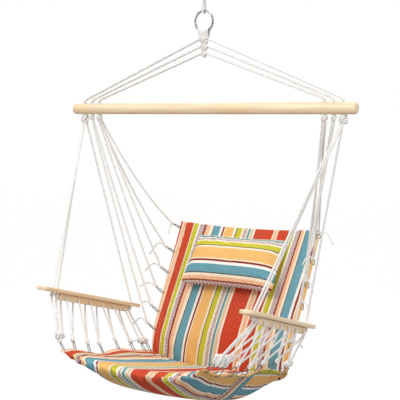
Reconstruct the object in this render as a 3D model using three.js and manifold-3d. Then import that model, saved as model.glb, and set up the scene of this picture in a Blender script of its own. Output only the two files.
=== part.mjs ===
// Hammock chair: a padded sling seat, laced to two wooden armrests and hung by ropes and
// steel links from a wooden spreader bar, which hangs on a rope hitch from one steel ring.
// Millimetres. +Z is up, the sitter looks along -Y, and left and right are as seen from the
// front, so left is -X. The origin is the inside top of the hanging loop, which rests on
// whatever holds the chair up. All places below are measured from the bar's centre, which
// lies hangHeight under the origin.
import * as THREE from "three";
import { mergeVertices } from "three/addons/utils/BufferGeometryUtils.js";
import Module from "manifold-3d";

const wasm = await Module();
wasm.setup();

// Clearances
const gap = 0.3;
const slideGap = 0.5;
const weldDistance = 0.001;
const overrun = 5;

// Hanging loop, its knot and the doubled rope down to the ring
const hangHeight = 412;
const hangRopeSize = 6.5;
const loopWidth = 30;
const loopHeight = 44;
const hangKnotWidth = 21;
const hangKnotHeight = 30;
const hangStrandSpread = 7.4;

// Steel ring
const ringHeight = 256;
const ringRadius = 31;
const ringWire = 6;

// Ropes
const ropeSize = 5.8;
const ropeSides = 6;
const pairSpread = 4.4;
const knotSpread = 6.4;

// Rope hitch under the ring
const hitchRopes = 6;
const hitchRopePitch = 5.9;
const hitchKnotHeights = [203, 182, 162];
const hitchKnotWidths = [34, 26, 19];
const hitchKnotDepth = 17;
const hitchKnotHeight = 24;

// Spreader bar, with three bores at each end
const barLength = 1000;
const barSize = 34;
const boreInset = 42;
const outerBore = barLength / 2 - boreInset;
const borePitch = 29.5;
const fanBend = 16;

// Knots under the bar, from the outer one inwards
const barKnotWidths = [27, 18, 21];
const barKnotHeights = [27, 17, 19];
const knotSocket = 7;
const stubWidth = 9.8;
const stubRecess = 0.5;
const barBore = stubWidth + 2 * gap;

// Armrests: a board with a laced rail under it
const boardWidth = 44;
const boardThickness = 12;
const boardFront = { side: 352, ahead: 340, drop: 515 };
const boardRear = { side: 316, behind: 89, drop: 628 };
const frontHole = 58;
const holePitch = 19;
const rearHole = 38;
const ropeHole = 8;
const boardKnotWidth = 15;
const boardKnotHeight = 14;
const gatherKnotWidth = 21;
const gatherKnotHeight = 22;
const railLength = 311;
const railFrontRoom = 1;
const railRearRoom = 3;
const railHeight = 20;
const railThickness = 16;
const laceHole = 8;
const lacePitch = 53;
const laceCount = 6;
const laceSize = 5.2;
const laceKnotWidth = 14;
const laceKnotHeight = 18;

// The rail runs between the knots under the board, which is as long as they all need
const railStart = frontHole + holePitch + boardKnotWidth / 2 + railFrontRoom;
const railBack = railStart + railLength / 2;
const railEnd = railStart + railLength + railRearRoom;
const boardLength = railEnd + boardKnotWidth / 2 + rearHole;

// Rail screws
const screwSize = 4;
const screwHead = 8;
const screwLength = 27;
const screwPitch = 106;

// Steel links between the ropes and the sling
const linkWire = 2.8;
const linkWidth = 14.5;
const linkLength = 34;
const eyeletSize = 8;
const eyeletInset = 7;
const endKnotWidth = 12;
const endKnotHeight = 15;
const rearKnotWidth = 19;
const rearKnotHeight = 18;

// Sling: a seat panel and a back panel
const seatReach = 369;
const seatLength = 440;
const seatDrop = 692;
const seatSlope = 76;
const seatHalfWidth = 248;
const lipSag = 28;
const bucketDepth = 70;
const seamSag = 38;
const seamBelly = 34;
const seamAllowance = 14;
const backHeight = 399;
const backRun = 182;
const backHalfWidth = 258;
const topSag = 9;
const hemLifts = { left: [6, -11, 6], right: [13, -7, -12, 8, -10] };
const seatPad = 17;
const backPad = 13;
const hemThickness = 5;
const hemBand = 18;
const strapThickness = 2.4;
const strapClearance = 0.5;

// Pillow
const pillowWidth = 332;
const pillowLength = 158;
const pillowCrown = 31;
const pillowBelly = 12;
const pillowFootLift = 20;
const pillowEdge = 5;
const pillowDrawIn = 7;
const pillowClearance = 1.2;

// Shares of the sizes above, chosen by hand
const bucketShare = 0.6;
const wallShare = 0.5;
const hemLiftShares = { left: [0.1, 0.38, 0.62], right: [0, 0.2, 0.45, 0.72, 0.92] };
const hemSpreadShares = { left: [0.06, 0.1, 0.1], right: [0.06, 0.09, 0.12, 0.08, 0.04] };
const strapShares = [0.49, 0.5, 4 / 7, 0.58];
const seatLinkShares = [0.03, 0.14, 0.29, 0.43, 0.6, 0.77, 0.895, 0.96];
const backLinkShares = [0.945, 0.752, 0.586, 0.436, 0.293, 0.16];
const kneeShare = 0.12;
const kneeRoundShare = 0.1;
const crestShare = 0.13;
const backSagShares = [0.058, 0.046, 0.01, 0.008, 0.013, 0.013];
const pillowTopShare = 0.895;
const pillowFootShare = 0.54;
const pillowTuckShare = 0.34;
const gatherShare = 0.45;
const hitchGatherShare = 0.82;
const pairWaistShare = 0.3;
const linkLeanShare = 0.65;

const colours = {
  rope: { color: 0xe9e6e0, roughness: 0.9, metalness: 0 },
  steel: { color: 0x9a9a98, roughness: 0.35, metalness: 1 },
  wood: { color: 0xe3bf8d, roughness: 0.5, metalness: 0 },
  fabric: { color: 0xc8442a, roughness: 0.95, metalness: 0 },
  pillowFabric: { color: 0x5a9bb0, roughness: 0.95, metalness: 0 },
};

const part = new THREE.Group();
const assembly = new THREE.Group();
assembly.position.z = -hangHeight;
part.add(assembly);

const sides = { left: -1, right: 1 };
const at = (x, y, z) => new THREE.Vector3(x, y, z);
const along = (a, b, share) => a.clone().lerp(b, share);
const toward = (a, b) => b.clone().sub(a).normalize();
const moved = (a, direction, distance) => a.clone().addScaledVector(direction, distance);

function addPiece(name, geometry, finish) {
  const mesh = new THREE.Mesh(geometry, new THREE.MeshStandardMaterial(colours[finish]));
  mesh.name = name;
  assembly.add(mesh);
}

// Booleans
function solidOf(geometry) {
  const bare = geometry.clone();
  bare.deleteAttribute("normal");
  bare.deleteAttribute("uv");
  const merged = mergeVertices(bare, weldDistance);
  const mesh = new wasm.Mesh({
    numProp: 3,
    vertProperties: merged.attributes.position.array,
    triVerts: new Uint32Array(merged.index.array),
  });
  return new wasm.Manifold(mesh);
}

function geometryOf(solid) {
  const mesh = solid.getMesh();
  const geometry = new THREE.BufferGeometry();
  geometry.setAttribute("position", new THREE.BufferAttribute(mesh.vertProperties, 3));
  geometry.setIndex(new THREE.BufferAttribute(mesh.triVerts, 1));
  return geometry;
}

const joinedSolid = (geometries) => geometries.map(solidOf).reduce((a, b) => a.add(b));
const joined = (geometries) => geometryOf(joinedSolid(geometries));
const cut = (geometry, cutters) => geometryOf(solidOf(geometry).subtract(joinedSolid(cutters)));

// The outline of a round rope, and of two ropes that lie side by side and touch
function ropeOutline(diameter, sideCount = ropeSides) {
  return Array.from({ length: sideCount }, (_, k) => {
    const turn = (2 * Math.PI * k) / sideCount;
    return new THREE.Vector2((diameter / 2) * Math.cos(turn), (diameter / 2) * Math.sin(turn));
  });
}

function pairOutline(diameter, spread) {
  const half = ropeOutline(diameter, 6).slice(0, 4);
  const outer = half.map((p) => new THREE.Vector2(p.x, p.y + spread / 2));
  const waist = new THREE.Vector2(-diameter * pairWaistShare, 0);
  const corners = [...outer, waist];
  return [...corners, ...corners.map((p) => new THREE.Vector2(-p.x, -p.y))];
}

// A closed tube that carries an outline along a list of points. The outline is turned as
// little as the path allows, and each end has a flat cap.
function sweep(points, outline) {
  const corners = [];
  const faces = [];
  const last = points.length - 1;
  const count = outline.length;
  let normal = null;
  points.forEach((point, i) => {
    const tangent = toward(points[Math.max(i - 1, 0)], points[Math.min(i + 1, last)]);
    const seed = Math.abs(tangent.z) < Math.SQRT1_2 ? at(0, 0, 1) : at(1, 0, 0);
    normal = (normal ?? seed).clone().addScaledVector(tangent, -(normal ?? seed).dot(tangent));
    normal.normalize();
    const side = tangent.clone().cross(normal);
    for (const { x, y } of outline) {
      corners.push(...moved(moved(point, normal, x), side, y).toArray());
    }
  });
  for (let i = 0; i < last; i++) {
    for (let k = 0; k < count; k++) {
      const a = i * count + k;
      const b = i * count + ((k + 1) % count);
      faces.push(a, b, b + count, a, b + count, a + count);
    }
  }
  for (const [a, b, c] of THREE.ShapeUtils.triangulateShape(outline, [])) {
    faces.push(a, c, b, last * count + a, last * count + b, last * count + c);
  }
  const geometry = new THREE.BufferGeometry();
  geometry.setAttribute("position", new THREE.Float32BufferAttribute(corners, 3));
  geometry.setIndex(faces);
  return geometry;
}

function ropeTube(points, diameter, sideCount) {
  return sweep(points, ropeOutline(diameter, sideCount));
}

// Points of a rope that hangs between two ends and sags in the middle.
function sagging(a, b, sag, steps) {
  const points = [];
  for (let i = 0; i <= steps; i++) {
    const share = i / steps;
    const point = along(a, b, share);
    point.z -= 4 * sag * share * (1 - share);
    points.push(point);
  }
  return points;
}

// A knot as a waisted lump, turned about its own axis.
function knotLump(centre, axis, width, height, depth = width) {
  const rows = 4;
  const profile = [new THREE.Vector2(0, -height / 2)];
  for (let i = 1; i < rows; i++) {
    const angle = (Math.PI * i) / rows;
    const radius = (width / 2) * Math.sqrt(Math.sin(angle));
    profile.push(new THREE.Vector2(radius, (-height / 2) * Math.cos(angle)));
  }
  profile.push(new THREE.Vector2(0, height / 2));
  const geometry = new THREE.LatheGeometry(profile, 7);
  geometry.scale(1, 1, depth / width);
  const turn = new THREE.Quaternion().setFromUnitVectors(at(0, 1, 0), axis);
  geometry.applyQuaternion(turn);
  geometry.translate(centre.x, centre.y, centre.z);
  return geometry;
}

function roundBar(centre, axis, diameter, length, sideCount) {
  const geometry = new THREE.CylinderGeometry(diameter / 2, diameter / 2, length, sideCount);
  geometry.applyQuaternion(new THREE.Quaternion().setFromUnitVectors(at(0, 1, 0), axis));
  geometry.translate(centre.x, centre.y, centre.z);
  return geometry;
}

// Hanging loop, knot and doubled rope, all in the plane across the ring
function makeHangingRope() {
  const loopTop = hangHeight + hangRopeSize / 2;
  const knotTop = loopTop - loopHeight;
  const knotFoot = knotTop - hangKnotHeight;
  const loopFoot = knotTop + gap;
  const loopEnds = [-1, 1].map((end) => [
    at(0, (end * hangStrandSpread) / 2, loopFoot),
    at(0, (end * hangStrandSpread) / 2, loopFoot + hangRopeSize / 4),
  ]);
  const loop = [...loopEnds[1]];
  const loopSteps = 14;
  for (let i = 1; i < loopSteps; i++) {
    const turn = (2 * Math.PI * i) / loopSteps;
    const swing = Math.sin(turn / 2) ** 2;
    const across = (loopWidth / 2) * Math.sin(turn) * Math.sqrt(swing);
    const foot = (hangStrandSpread / 2) * Math.cos(turn / 2) ** 3;
    const lift = (hangRopeSize / 2) * (1 - swing);
    loop.push(at(0, across + foot, loopFoot + lift + (loopHeight - gap) * swing));
  }
  loop.push(...loopEnds[0].reverse());
  addPiece("hanging_loop", ropeTube(loop, hangRopeSize, 8), "rope");

  const profile = [];
  const knotRows = 8;
  for (let i = 0; i <= knotRows; i++) {
    const share = i / knotRows;
    const swell = 1 + 0.12 * Math.cos(4 * Math.PI * share);
    const flat = 0.62;
    const round = flat + (1 - flat) * Math.sqrt(Math.sin(Math.PI * share));
    profile.push(new THREE.Vector2((hangKnotWidth / 2) * round * swell, hangKnotHeight * share));
  }
  profile.unshift(new THREE.Vector2(0, 0));
  profile.push(new THREE.Vector2(0, hangKnotHeight));
  const knot = new THREE.LatheGeometry(profile, 10);
  knot.rotateX(Math.PI / 2);
  knot.translate(0, 0, knotFoot);
  addPiece("hanging_knot", knot, "rope");

  const wireTop = ringHeight + ringRadius;
  const bight = (ringWire + hangRopeSize) / 2 + slideGap;
  const strandTop = knotFoot - slideGap;
  const route = [
    at(0, hangStrandSpread / 2, strandTop),
    at(0, hangStrandSpread / 2, strandTop - hangRopeSize),
    at(0, bight, wireTop + bight),
    at(0, bight, wireTop),
    at(0, bight * Math.SQRT1_2, wireTop - bight * Math.SQRT1_2),
    at(0, 0, wireTop - bight),
    at(0, -bight * Math.SQRT1_2, wireTop - bight * Math.SQRT1_2),
    at(0, -bight, wireTop),
    at(0, -bight, wireTop + bight),
    at(0, -hangStrandSpread / 2, strandTop - hangRopeSize),
    at(0, -hangStrandSpread / 2, strandTop),
  ];
  const section = new THREE.Shape().absarc(0, 0, hangRopeSize / 2, 0, 2 * Math.PI);
  const rope = new THREE.ExtrudeGeometry(section, {
    steps: 22,
    curveSegments: 4,
    bevelEnabled: false,
    extrudePath: new THREE.CatmullRomCurve3(route, false, "centripetal"),
  });
  addPiece("hanging_rope", rope, "rope");
}

function makeRing() {
  const ring = new THREE.TorusGeometry(ringRadius, ringWire / 2, 6, 36);
  ring.rotateX(Math.PI / 2);
  ring.translate(0, 0, ringHeight);
  addPiece("steel_ring", ring, "steel");
}

// Fan ropes: each is a doubled strand from a hitch knot to the top of a bore in the bar.
function fanRope(side, row, grow) {
  const knotX = side * (hitchKnotWidths[row] / 2 - knotSocket);
  const x = boreX(side, row);
  const start = at(knotX, 0, hitchKnotHeights[row] + (knotSocket - row) / 2);
  const end = at(x, 0, barSize / 2 + gap);
  const bendEnd = at(x, 0, end.z + slideGap);
  const bendTop = at(x, 0, end.z + fanBend / 2);
  const bendStart = moved(bendTop, toward(bendTop, start), fanBend);
  const bend = new THREE.QuadraticBezierCurve3(bendStart, bendTop, bendEnd).getPoints(3);
  const from = moved(start, toward(bendStart, start), grow);
  return sweep([from, ...bend, end], pairOutline(ropeSize + 2 * grow, pairSpread));
}

function makeFan() {
  const sockets = [];
  hitchKnotWidths.forEach((width, row) => {
    const place = ["outer", "middle", "inner"][row];
    for (const [name, side] of Object.entries(sides)) {
      addPiece(`fan_rope_${name}_${place}`, fanRope(side, row, 0), "rope");
      sockets.push(fanRope(side, row, gap));
    }
  });

  const pieces = hitchKnotWidths.map((width, row) =>
    knotLump(at(0, 0, hitchKnotHeights[row]), at(0, 0, 1), width, hitchKnotHeight, hitchKnotDepth),
  );
  const bightSteps = 5;
  const bightRadius = (ringWire + ropeSize) / 2 + 3 * slideGap;
  for (let i = 0; i < hitchRopes; i++) {
    const x = (i - (hitchRopes - 1) / 2) * hitchRopePitch;
    const wire = ringHeight - Math.sqrt(ringRadius ** 2 - x ** 2);
    const foot = at(x * hitchGatherShare, 0, hitchKnotHeights[0]);
    const points = [at(foot.x, -hitchKnotDepth / 4, foot.z)];
    for (let k = 0; k <= bightSteps; k++) {
      const turn = (Math.PI * k) / bightSteps;
      points.push(at(x, -bightRadius * Math.cos(turn), wire + bightRadius * Math.sin(turn)));
    }
    points.push(at(foot.x, hitchKnotDepth / 4, foot.z));
    pieces.push(ropeTube(points, ropeSize));
  }
  const hitch = joinedSolid(pieces).subtract(joinedSolid(sockets));
  addPiece("ring_hitch", geometryOf(hitch), "rope");
}

function boreX(side, row) {
  return side * (outerBore - row * borePitch);
}

function makeBar() {
  const round = barSize / 4;
  const profile = [new THREE.Vector2(0, -barLength / 2)];
  for (let i = 0; i <= 3; i++) {
    const turn = (Math.PI / 2) * (i / 3);
    const radius = barSize / 2 - round + round * Math.sin(turn);
    profile.push(new THREE.Vector2(radius, -barLength / 2 + round * (1 - Math.cos(turn))));
  }
  profile.push(...profile.map((p) => new THREE.Vector2(p.x, -p.y)).reverse());
  const bar = new THREE.LatheGeometry(profile, 20);
  bar.rotateZ(Math.PI / 2);
  const bores = [];
  for (const side of Object.values(sides)) {
    for (let row = 0; row < barKnotWidths.length; row++) {
      const length = barSize + 2 * overrun;
      bores.push(roundBar(at(boreX(side, row), 0, 0), at(0, 0, 1), barBore, length, 8));
    }
  }
  addPiece("spreader_bar", cut(bar, bores), "wood");
}

function barKnotCentre(side, row) {
  return at(boreX(side, row), 0, -barSize / 2 - gap - barKnotHeights[row] / 2);
}

// Where a rope starts, inside the knot under the bar
function knotExit(side, row, offsetX, offsetY) {
  const centre = barKnotCentre(side, row);
  const depth = barKnotHeights[row] / 2 - knotSocket;
  return at(centre.x + side * offsetX, centre.y + offsetY, centre.z - depth);
}

// Sling surfaces. Both run from one long edge to the other as "across" goes from -1 to 1.
// The back rises steeply from the seam, then leans back beyond a rounded knee.
function kneeRun(rise) {
  const bend = (share) => Math.hypot(share - kneeShare, kneeRoundShare) + share - kneeShare;
  const lean = (bend(rise) - bend(0)) / (bend(1) - bend(0));
  return lean * (1 + crestShare * (1 - lean));
}

const shallow = (across) => 1 - Math.abs(across) ** 2.2;
const deep = (across) => 1 - Math.abs(across) ** 6;

// The hem rises and falls between its links, and less so further in
function hemWave(run, across) {
  const name = across < 0 ? "left" : "right";
  const waves = hemLifts[name].map((lift, i) => {
    const away = (run - hemLiftShares[name][i]) / hemSpreadShares[name][i];
    return lift * Math.exp(-(away ** 2));
  });
  return Math.abs(across) ** 6 * waves.reduce((a, b) => a + b);
}

// The seat is a bucket between a shallow front edge and a deeper seam
function seatPoint(run, across) {
  const wall = Math.min(1, (1 - Math.abs(across)) / wallShare);
  const bucket = wall ** 2 * (3 - 2 * wall);
  const reach = Math.abs(run - bucketShare) / (run < bucketShare ? bucketShare : 1 - bucketShare);
  const lip = lipSag * shallow(across) * (1 - run);
  const depth = bucketDepth * bucket * (1 - reach ** 3);
  const seam = seamSag * deep(across) * run ** 2;
  const y = -seatReach + seatLength * run + seamBelly * deep(across) * run ** 3;
  const z = -seatDrop - seatSlope * run - lip - depth - seam + hemWave(run, across);
  return at(seatHalfWidth * across, y, z);
}

function backPoint(rise, across) {
  const low = (1 - rise) ** 3;
  const halfWidth = seatHalfWidth + (backHalfWidth - seatHalfWidth) * Math.min(1, 2 * rise);
  const run = kneeRun(rise);
  const y = -seatReach + seatLength + backRun * run + seamBelly * deep(across) * low;
  const sag = seamSag * deep(across) * low + topSag * shallow(across) * Math.max(rise, 0) ** 6;
  return at(halfWidth * across, y, -seatDrop - seatSlope + backHeight * rise - sag);
}

// The surface's two directions and its normal at a place, by small steps
function surfaceFrame(surface, run, across) {
  const step = 0.002;
  const point = surface(run, across);
  const lengthways = toward(surface(run - step, across), surface(run + step, across));
  const crossways = toward(surface(run, across - step), surface(run, across + step));
  const normal = crossways.clone().cross(lengthways).normalize();
  return { point, lengthways, crossways, normal };
}

const panelRows = 14;
const panelColumns = 14;
const columnShares = Array.from({ length: panelColumns + 1 }, (_, k) =>
  Math.sin((Math.PI / 2) * ((2 * k) / panelColumns - 1)),
);

// Half the thickness of a panel: flat along the hem, then padded
function halfPad(pad, across) {
  const flatHem = 1 - hemBand / seatHalfWidth;
  const crown = Math.sqrt(Math.max(0, 1 - Math.abs(across / flatHem) ** 4));
  return (hemThickness + (pad - hemThickness) * crown) / 2;
}

// A padded panel: two skins either side of the surface
function panel(surface, runStart, runEnd, pad, grow = 0) {
  const spread = 1 + (2 * grow) / seatHalfWidth;
  const skins = [[], []];
  for (let i = 0; i <= panelRows; i++) {
    for (const share of columnShares) {
      const run = runStart + ((runEnd - runStart) * i) / panelRows;
      const { point, normal } = surfaceFrame(surface, run, share * spread);
      const half = halfPad(pad, share * spread) + grow;
      skins[0].push(moved(point, normal, half));
      skins[1].push(moved(point, normal, -half));
    }
  }
  return shell(skins, panelRows, panelColumns);
}

// Two skins of points in rows, closed round the edge
function shell(skins, rows, columns) {
  const width = columns + 1;
  const corners = [...skins[0], ...skins[1]].flatMap((p) => p.toArray());
  const under = (rows + 1) * width;
  const faces = [];
  const quad = (a, b, c, d) => faces.push(a, b, c, a, c, d);
  for (let i = 0; i < rows; i++) {
    for (let k = 0; k < columns; k++) {
      const a = i * width + k;
      quad(a, a + 1, a + 1 + width, a + width);
      quad(under + a, under + a + width, under + a + 1 + width, under + a + 1);
    }
    const left = i * width;
    quad(left, left + width, under + left + width, under + left);
    const right = left + columns;
    quad(right, under + right, under + right + width, right + width);
  }
  for (let k = 0; k < columns; k++) {
    quad(k, under + k, under + k + 1, k + 1);
    const far = rows * width + k;
    quad(far, far + 1, under + far + 1, under + far);
  }
  const geometry = new THREE.BufferGeometry();
  geometry.setAttribute("position", new THREE.Float32BufferAttribute(corners, 3));
  geometry.setIndex(faces);
  return geometry;
}

// The place of an eyelet in the hem, with the directions round it
function eyelet(surface, run, side) {
  const inset = eyeletInset / seatHalfWidth;
  const frame = surfaceFrame(surface, run, side * (1 - inset));
  const outward = frame.crossways.clone().multiplyScalar(side);
  return { ...frame, outward };
}

function eyeletCutter(place) {
  return roundBar(place.point, place.normal, eyeletSize, seatPad + 2 * overrun, 6);
}

// A link is an oval of wire. Its lower end goes round the hem through the eyelet, and it
// points to where its rope comes from. Returned with the top of the link.
function makeLink(place, target) {
  const direction = toward(place.point, target);
  const alongHem = direction.dot(place.lengthways);
  direction.addScaledVector(place.lengthways, -alongHem * linkLeanShare).normalize();
  const acrossLink = place.lengthways.clone().cross(direction).normalize();
  const radius = (linkWidth - linkWire) / 2;
  const inCloth = direction.clone().cross(acrossLink).cross(place.normal).normalize();
  inCloth.multiplyScalar(Math.sign(inCloth.dot(place.outward)));
  const foot = moved(place.point, inCloth, radius);
  const straight = linkLength - linkWidth;
  const points = [];
  const turns = 4;
  for (const end of [1, -1]) {
    for (let k = 0; k <= turns; k++) {
      const turn = (Math.PI * k) / turns;
      const sideStep = end * radius * Math.cos(turn);
      const reach = (end > 0 ? straight : 0) + end * radius * Math.sin(turn);
      points.push(moved(moved(foot, direction, reach), acrossLink, sideStep));
    }
  }
  const top = moved(foot, direction, straight + linkWidth / 2);
  return { geometry: closedTube(points, linkWire, 5), top, direction };
}

// A tube that closes on itself
function closedTube(points, diameter, sideCount) {
  const count = points.length;
  const plane = toward(points[0], points[1]).cross(toward(points[1], points[2])).normalize();
  const corners = [];
  const faces = [];
  points.forEach((point, i) => {
    const tangent = toward(points[(i + count - 1) % count], points[(i + 1) % count]);
    const side = tangent.clone().cross(plane);
    for (let k = 0; k < sideCount; k++) {
      const turn = (2 * Math.PI * k) / sideCount;
      const corner = moved(point, plane, (diameter / 2) * Math.cos(turn));
      corner.addScaledVector(side, (diameter / 2) * Math.sin(turn));
      corners.push(...corner.toArray());
    }
  });
  for (let i = 0; i < count; i++) {
    for (let k = 0; k < sideCount; k++) {
      const next = ((i + 1) % count) * sideCount;
      const k2 = (k + 1) % sideCount;
      faces.push(i * sideCount + k, i * sideCount + k2, next + k2);
      faces.push(i * sideCount + k, next + k2, next + k);
    }
  }
  const geometry = new THREE.BufferGeometry();
  geometry.setAttribute("position", new THREE.Float32BufferAttribute(corners, 3));
  geometry.setIndex(faces);
  return geometry;
}

// Armrest frame: the board's top front end, the way back along it, and its up direction
function boardFrame(side) {
  const front = at(side * boardFront.side, -boardFront.ahead, -boardFront.drop);
  const rear = at(side * boardRear.side, boardRear.behind, -boardRear.drop);
  const back = toward(front, rear);
  const level = back.clone().cross(at(0, 0, 1)).normalize();
  const up = level.clone().cross(back).normalize();
  const outward = level.multiplyScalar(Math.sign(side * level.x));
  return { front, back, up, outward };
}

// A point of the armrest: back along the board, up from its top face, and outwards
function onBoard(side, back, up, outward) {
  const frame = boardFrame(side);
  const point = moved(frame.front, frame.back, back);
  return moved(moved(point, frame.up, up), frame.outward, outward);
}

function boardMatrix(side, origin) {
  const { back, up } = boardFrame(side);
  const matrix = new THREE.Matrix4().makeBasis(back, up.clone().cross(back), up);
  return matrix.setPosition(origin);
}

// A flat bar with round ends, drawn in plan and raised along its up direction
function roundEnded(length, width, height) {
  const half = width / 2;
  const shape = new THREE.Shape();
  shape.absarc(length - half, 0, half, -Math.PI / 2, Math.PI / 2);
  shape.absarc(half, 0, half, Math.PI / 2, (3 * Math.PI) / 2);
  const bevel = height / 6;
  const geometry = new THREE.ExtrudeGeometry(shape, {
    depth: height - 2 * bevel,
    curveSegments: 4,
    bevelEnabled: true,
    bevelThickness: bevel,
    bevelSize: bevel,
    bevelOffset: -bevel,
    bevelSegments: 1,
  });
  geometry.translate(0, 0, bevel);
  return geometry;
}

const railTop = -boardThickness - gap;
const laceUp = railTop - railHeight / 2;
const laceBack = (i) => railBack + (i - (laceCount - 1) / 2) * lacePitch;

// A wood screw with a countersunk head, pointing up from the rail's underside
function screw(side, back, grow) {
  const foot = onBoard(side, back, railTop - railHeight, 0);
  const up = boardFrame(side).up;
  const shank = screwSize / 2 + grow;
  const head = screwHead / 2 + grow;
  const profile = [
    new THREE.Vector2(0, -grow),
    new THREE.Vector2(head, -grow),
    new THREE.Vector2(shank, head - shank + grow),
    new THREE.Vector2(shank, screwLength - screwSize + grow),
    new THREE.Vector2(0, screwLength + grow),
  ];
  const geometry = new THREE.LatheGeometry(profile, 8);
  geometry.applyQuaternion(new THREE.Quaternion().setFromUnitVectors(at(0, 1, 0), up));
  geometry.translate(foot.x, foot.y, foot.z);
  return geometry;
}

function makeArmrest(name, side) {
  const { up, outward } = boardFrame(side);
  const screwBacks = [railBack - screwPitch / 2, railBack + screwPitch / 2];
  const board = roundEnded(boardLength, boardWidth, boardThickness);
  board.applyMatrix4(boardMatrix(side, onBoard(side, 0, -boardThickness, 0)));
  const holes = [frontHole, frontHole + holePitch, boardLength - rearHole].map((back) =>
    roundBar(onBoard(side, back, -boardThickness / 2, 0), up, ropeHole, boardWidth, 8),
  );
  const screwHoles = screwBacks.map((back) => screw(side, back, gap));
  addPiece(`armrest_board_${name}`, cut(board, [...holes, ...screwHoles]), "wood");

  const rail = roundEnded(railLength, railThickness, railHeight);
  rail.applyMatrix4(boardMatrix(side, onBoard(side, railStart, railTop - railHeight, 0)));
  const laceHoles = Array.from({ length: laceCount }, (_, i) =>
    roundBar(onBoard(side, laceBack(i), laceUp, 0), outward, laceHole, railHeight + overrun, 6),
  );
  addPiece(`armrest_rail_${name}`, cut(rail, [...laceHoles, ...screwHoles]), "wood");
  addPiece(`rail_screw_${name}_front`, screw(side, screwBacks[0], 0), "steel");
  addPiece(`rail_screw_${name}_rear`, screw(side, screwBacks[1], 0), "steel");
}

// The knot under a bore of the bar, with the rope that fills the bore above it
function barKnot(side, row) {
  const height = barKnotHeights[row];
  const centre = barKnotCentre(side, row);
  const stubTop = barSize / 2 - stubRecess;
  const stubLength = stubTop - centre.z;
  const stubCentre = at(centre.x, 0, stubTop - stubLength / 2);
  return [
    knotLump(centre, at(0, 0, 1), barKnotWidths[row], height),
    roundBar(stubCentre, at(0, 0, 1), stubWidth, stubLength, 8),
  ];
}

// A strand from the outer bar knot through a hole in the board, with its knot under the board
function boardStrand(side, back, start, onward) {
  const drop = -boardThickness - gap;
  const over = onBoard(side, back, ropeSize, 0);
  const under = onBoard(side, back, drop - boardKnotHeight, 0);
  const knotCentre = onBoard(side, back, drop - boardKnotHeight / 2, 0);
  return [
    ropeTube([start, over, under, onward], ropeSize),
    knotLump(knotCentre, boardFrame(side).up, boardKnotWidth, boardKnotHeight),
  ];
}

// The outer rope of one side: two strands hold the front of the armrest and the seat's front
// corner, and one holds the rear of the armrest and the seat's rear corner.
function makeArmrestRope(name, side, cornerLink, rearLink) {
  const pieces = barKnot(side, 0);
  const spread = knotSpread / 2;
  const cornerKnot = moved(cornerLink.top, cornerLink.direction, gap + boardKnotHeight / 2);
  pieces.push(knotLump(cornerKnot, cornerLink.direction, boardKnotWidth, boardKnotHeight));
  const gather = frontGather(cornerLink);
  pieces.push(knotLump(gather, at(0, 0, 1), gatherKnotWidth, gatherKnotHeight));
  [-1, 1].forEach((strand, i) => {
    const start = knotExit(side, 0, strand * spread, -spread);
    const onward = gather.clone().add(at(0, (strand * ropeSize) / 2, 0));
    pieces.push(...boardStrand(side, frontHole + i * holePitch, start, onward));
  });
  const rearStart = knotExit(side, 0, -spread, spread);
  const rearKnot = moved(rearLink.top, rearLink.direction, gap + rearKnotHeight / 2);
  pieces.push(...boardStrand(side, boardLength - rearHole, rearStart, rearKnot));
  pieces.push(knotLump(rearKnot, rearLink.direction, rearKnotWidth, rearKnotHeight));
  addPiece(`armrest_rope_${name}`, joined(pieces), "rope");
}

// The knot where the two front strands meet, above the corner knot
function frontGather(cornerLink) {
  const lift = gap + boardKnotHeight / 2;
  const cornerKnot = moved(cornerLink.top, cornerLink.direction, lift);
  const up = along(at(0, 0, 1), cornerLink.direction, gatherShare);
  return moved(cornerKnot, up, (boardKnotHeight + gatherKnotHeight) * gatherShare);
}

// Lacing: one cord that goes up outside the rail, in through each hole and down to a link
function makeLacing(name, side, cornerLink, links) {
  const pieces = [];
  const ends = links.map((link) => moved(link.top, link.direction, gap + laceKnotHeight / 2));
  const clear = (gatherKnotWidth + laceKnotWidth) / 2 + gap;
  const startKnot = moved(frontGather(cornerLink), at(0, 1, 0), clear);
  pieces.push(knotLump(startKnot, at(0, 0, 1), laceKnotWidth, laceKnotHeight));
  ends.forEach((end, i) => {
    const back = laceBack(i);
    const skin = (railThickness + laceSize) / 2 + slideGap;
    const turn = laceSize * gatherShare;
    const route = [
      i === 0 ? startKnot : ends[i - 1],
      onBoard(side, back, railTop - railHeight - slideGap, skin),
      onBoard(side, back, laceUp - turn, skin),
      onBoard(side, back, laceUp, skin - turn),
      onBoard(side, back, laceUp, turn - skin),
      onBoard(side, back, laceUp - turn, -skin),
      end,
    ];
    pieces.push(ropeTube(route, laceSize));
    pieces.push(knotLump(end, links[i].direction, laceKnotWidth, laceKnotHeight));
  });
  addPiece(`armrest_lacing_${name}`, joined(pieces), "rope");
}

// Ropes to the back panel: each starts from a bar knot, given by its row and its place in it
const backRopeStarts = [
  { row: 2, x: 1, y: 1 },
  { row: 2, x: -1, y: 1 },
  { row: 2, x: 1, y: -1 },
  { row: 2, x: -1, y: -1 },
  { row: 1, x: 1, y: 0 },
  { row: 1, x: -1, y: 0 },
];

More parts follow.
